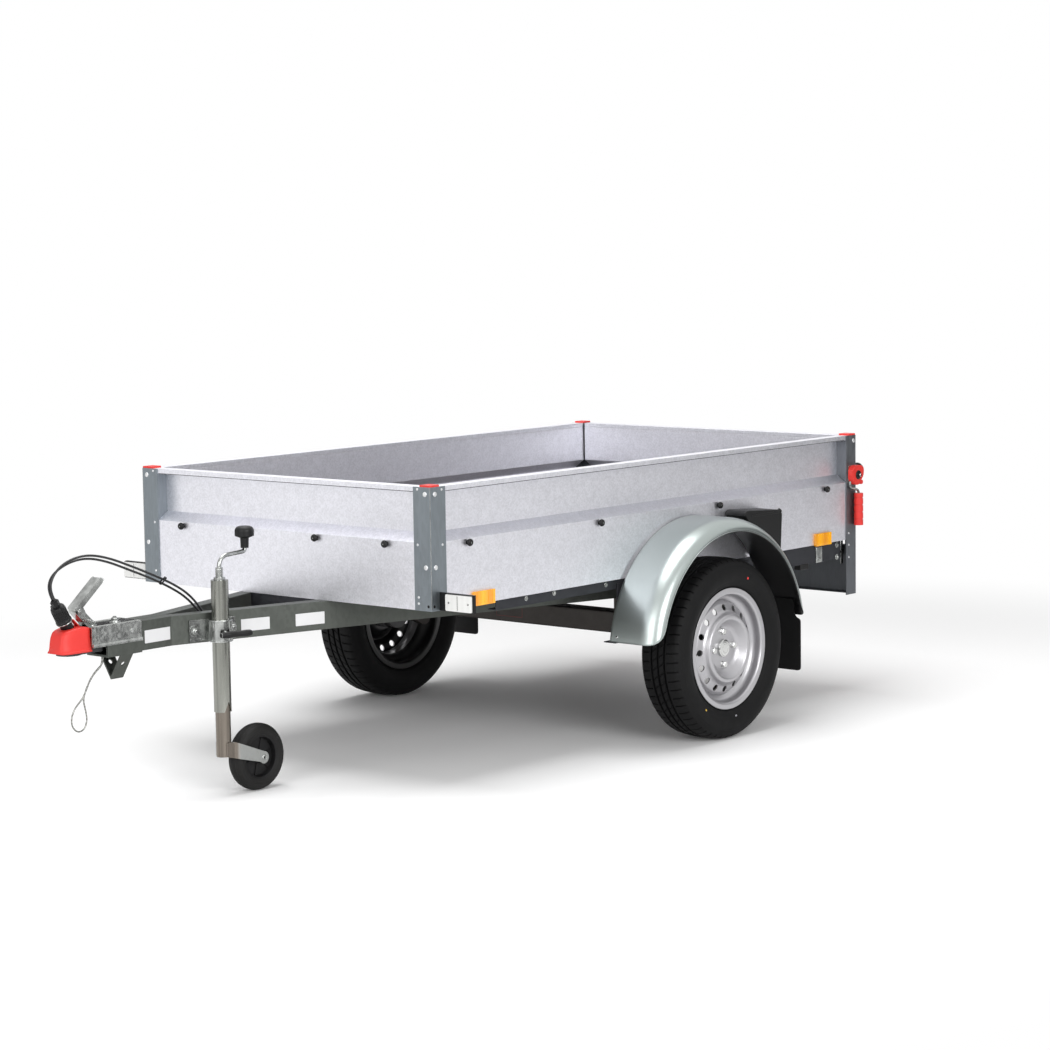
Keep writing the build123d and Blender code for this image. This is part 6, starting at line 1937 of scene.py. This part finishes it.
def stage_sheets(name, sheets, material):
    """Flat sheets of the studio, each given by three of its corners, in metres."""
    bm = bmesh.new()
    for sheet in sheets:
        corner, along, up = [Vector(point) for point in sheet]
        bm.faces.new([bm.verts.new(v) for v in (corner, along, along + up - corner, up)])
    mesh = bpy.data.meshes.new(name)
    bm.to_mesh(mesh)
    bm.free()
    mesh.materials.append(material)
    piece = bpy.data.objects.new(name, mesh)
    bpy.context.scene.collection.objects.link(piece)
    return piece


def floor_white():
    """Matt white floor that keeps the trailer's shadow near by and is plain white further out."""
    material, tree, body = surface("White studio floor", STUDIO_MATT, specular_ior_level=0.0)
    body.inputs["Base Color"].default_value = colours().floor
    where = put(tree, "ShaderNodeTexCoord").outputs["Object"]
    squeezed = put(
        tree, "ShaderNodeVectorMath", {0: where, 1: (FLOOR_STRETCH, 1.0, 1.0)},
        operation="MULTIPLY",
    ).outputs[0]
    reach = put(
        tree, "ShaderNodeVectorMath", {0: squeezed}, operation="LENGTH"
    ).outputs["Value"]
    away = put(
        tree, "ShaderNodeMapRange",
        {"Value": reach, "From Min": FLOOR_NEAR, "From Max": FLOOR_FAR},
        interpolation_type="SMOOTHSTEP",
    ).outputs[0]
    share = put(
        tree, "ShaderNodeMath", {0: away, 1: seen_directly(tree)}, operation="MULTIPLY"
    ).outputs[0]
    white = put(tree, "ShaderNodeEmission", {"Color": (1, 1, 1, 1), "Strength": 1.0}).outputs[0]
    both = put(
        tree, "ShaderNodeMixShader", {0: share, 1: body.outputs[0], 2: white}
    ).outputs[0]
    tree.links.new(both, tree.nodes["Material Output"].inputs["Surface"])
    return material


def card_grey():
    """Matt grey card."""
    material, _, body = surface("Grey studio card", STUDIO_MATT)
    body.inputs["Base Color"].default_value = colours().card
    return material


class TRAILER_OT_stage(TrailerOperator, bpy.types.Operator):
    """Set the pale floor, the grey cards, the soft lights and the white background"""

    bl_idname = "trailer.stage"
    bl_label = "Stage"

    def execute(self, context):
        stage_sheets("studio_floor", FLOOR, floor_white())
        card = stage_sheets("studio_card", CARDS, card_grey())
        card.visible_camera = card.visible_diffuse = False
        card.visible_shadow = card.visible_transmission = False
        world = bpy.data.worlds.new("Studio")
        world.use_nodes = True
        tree = world.node_tree
        level = put(
            tree, "ShaderNodeMapRange",
            {"Value": seen_directly(tree), "To Min": SKY_FILL, "To Max": 1.0},
        )
        background = tree.nodes["Background"]
        background.inputs["Color"].default_value = (1, 1, 1, 1)
        tree.links.new(level.outputs[0], background.inputs["Strength"])
        context.scene.world = world
        for name, spot, aim, size, power in LAMPS:
            data = bpy.data.lights.new(name, "AREA")
            data.shape = "SQUARE"
            data.size = size
            data.energy = power
            lamp = bpy.data.objects.new(name, data)
            lamp.location = spot
            way = Vector(aim) - Vector(spot)
            lamp.rotation_euler = way.to_track_quat("-Z", "Y").to_euler()
            context.scene.collection.objects.link(lamp)
        context.scene.view_settings.view_transform = "Standard"
        return {"FINISHED"}


# ---------------------------------------------------------------- panel and registration
OPERATORS = (
    TRAILER_OT_camera, TRAILER_OT_cords, TRAILER_OT_finishes, TRAILER_OT_tyres,
    TRAILER_OT_wheel_fittings, TRAILER_OT_nose, TRAILER_OT_coupling, TRAILER_OT_plug,
    TRAILER_OT_drawbar, TRAILER_OT_rivets, TRAILER_OT_fenders, TRAILER_OT_lamps,
    TRAILER_OT_latches, TRAILER_OT_jockey, TRAILER_OT_rear, TRAILER_OT_stage,
)


class TRAILER_PT_panel(bpy.types.Panel):
    """The trailer's settings and steps."""

    bl_idname = "TRAILER_PT_panel"
    bl_label = "Utility trailer"
    bl_space_type = "VIEW_3D"
    bl_region_type = "UI"
    bl_category = "Trailer"

    def draw(self, context):
        layout = self.layout
        for group in (context.scene.trailer_colours, context.scene.trailer_sizes):
            column = layout.column(align=True)
            for name in group.bl_rna.properties.keys():
                if name not in {"rna_type", "name"}:
                    column.prop(group, name)
        for operator in OPERATORS:
            layout.operator(operator.bl_idname)


CLASSES = (TrailerColours, TrailerSizes) + OPERATORS + (TRAILER_PT_panel,)


def register():
    """Register the settings, the operators and the panel."""
    for made in CLASSES:
        bpy.utils.register_class(made)
    bpy.types.Scene.trailer_colours = PointerProperty(type=TrailerColours)
    bpy.types.Scene.trailer_sizes = PointerProperty(type=TrailerSizes)


def unregister():
    """Take them away again."""
    del bpy.types.Scene.trailer_sizes
    del bpy.types.Scene.trailer_colours
    for made in reversed(CLASSES):
        bpy.utils.unregister_class(made)


def main():
    """Dress the trailer."""
    register()
    for operator in OPERATORS:
        group, name = operator.bl_idname.split(".")
        getattr(getattr(bpy.ops, group), name)()


if __name__ == "__main__":
    main()
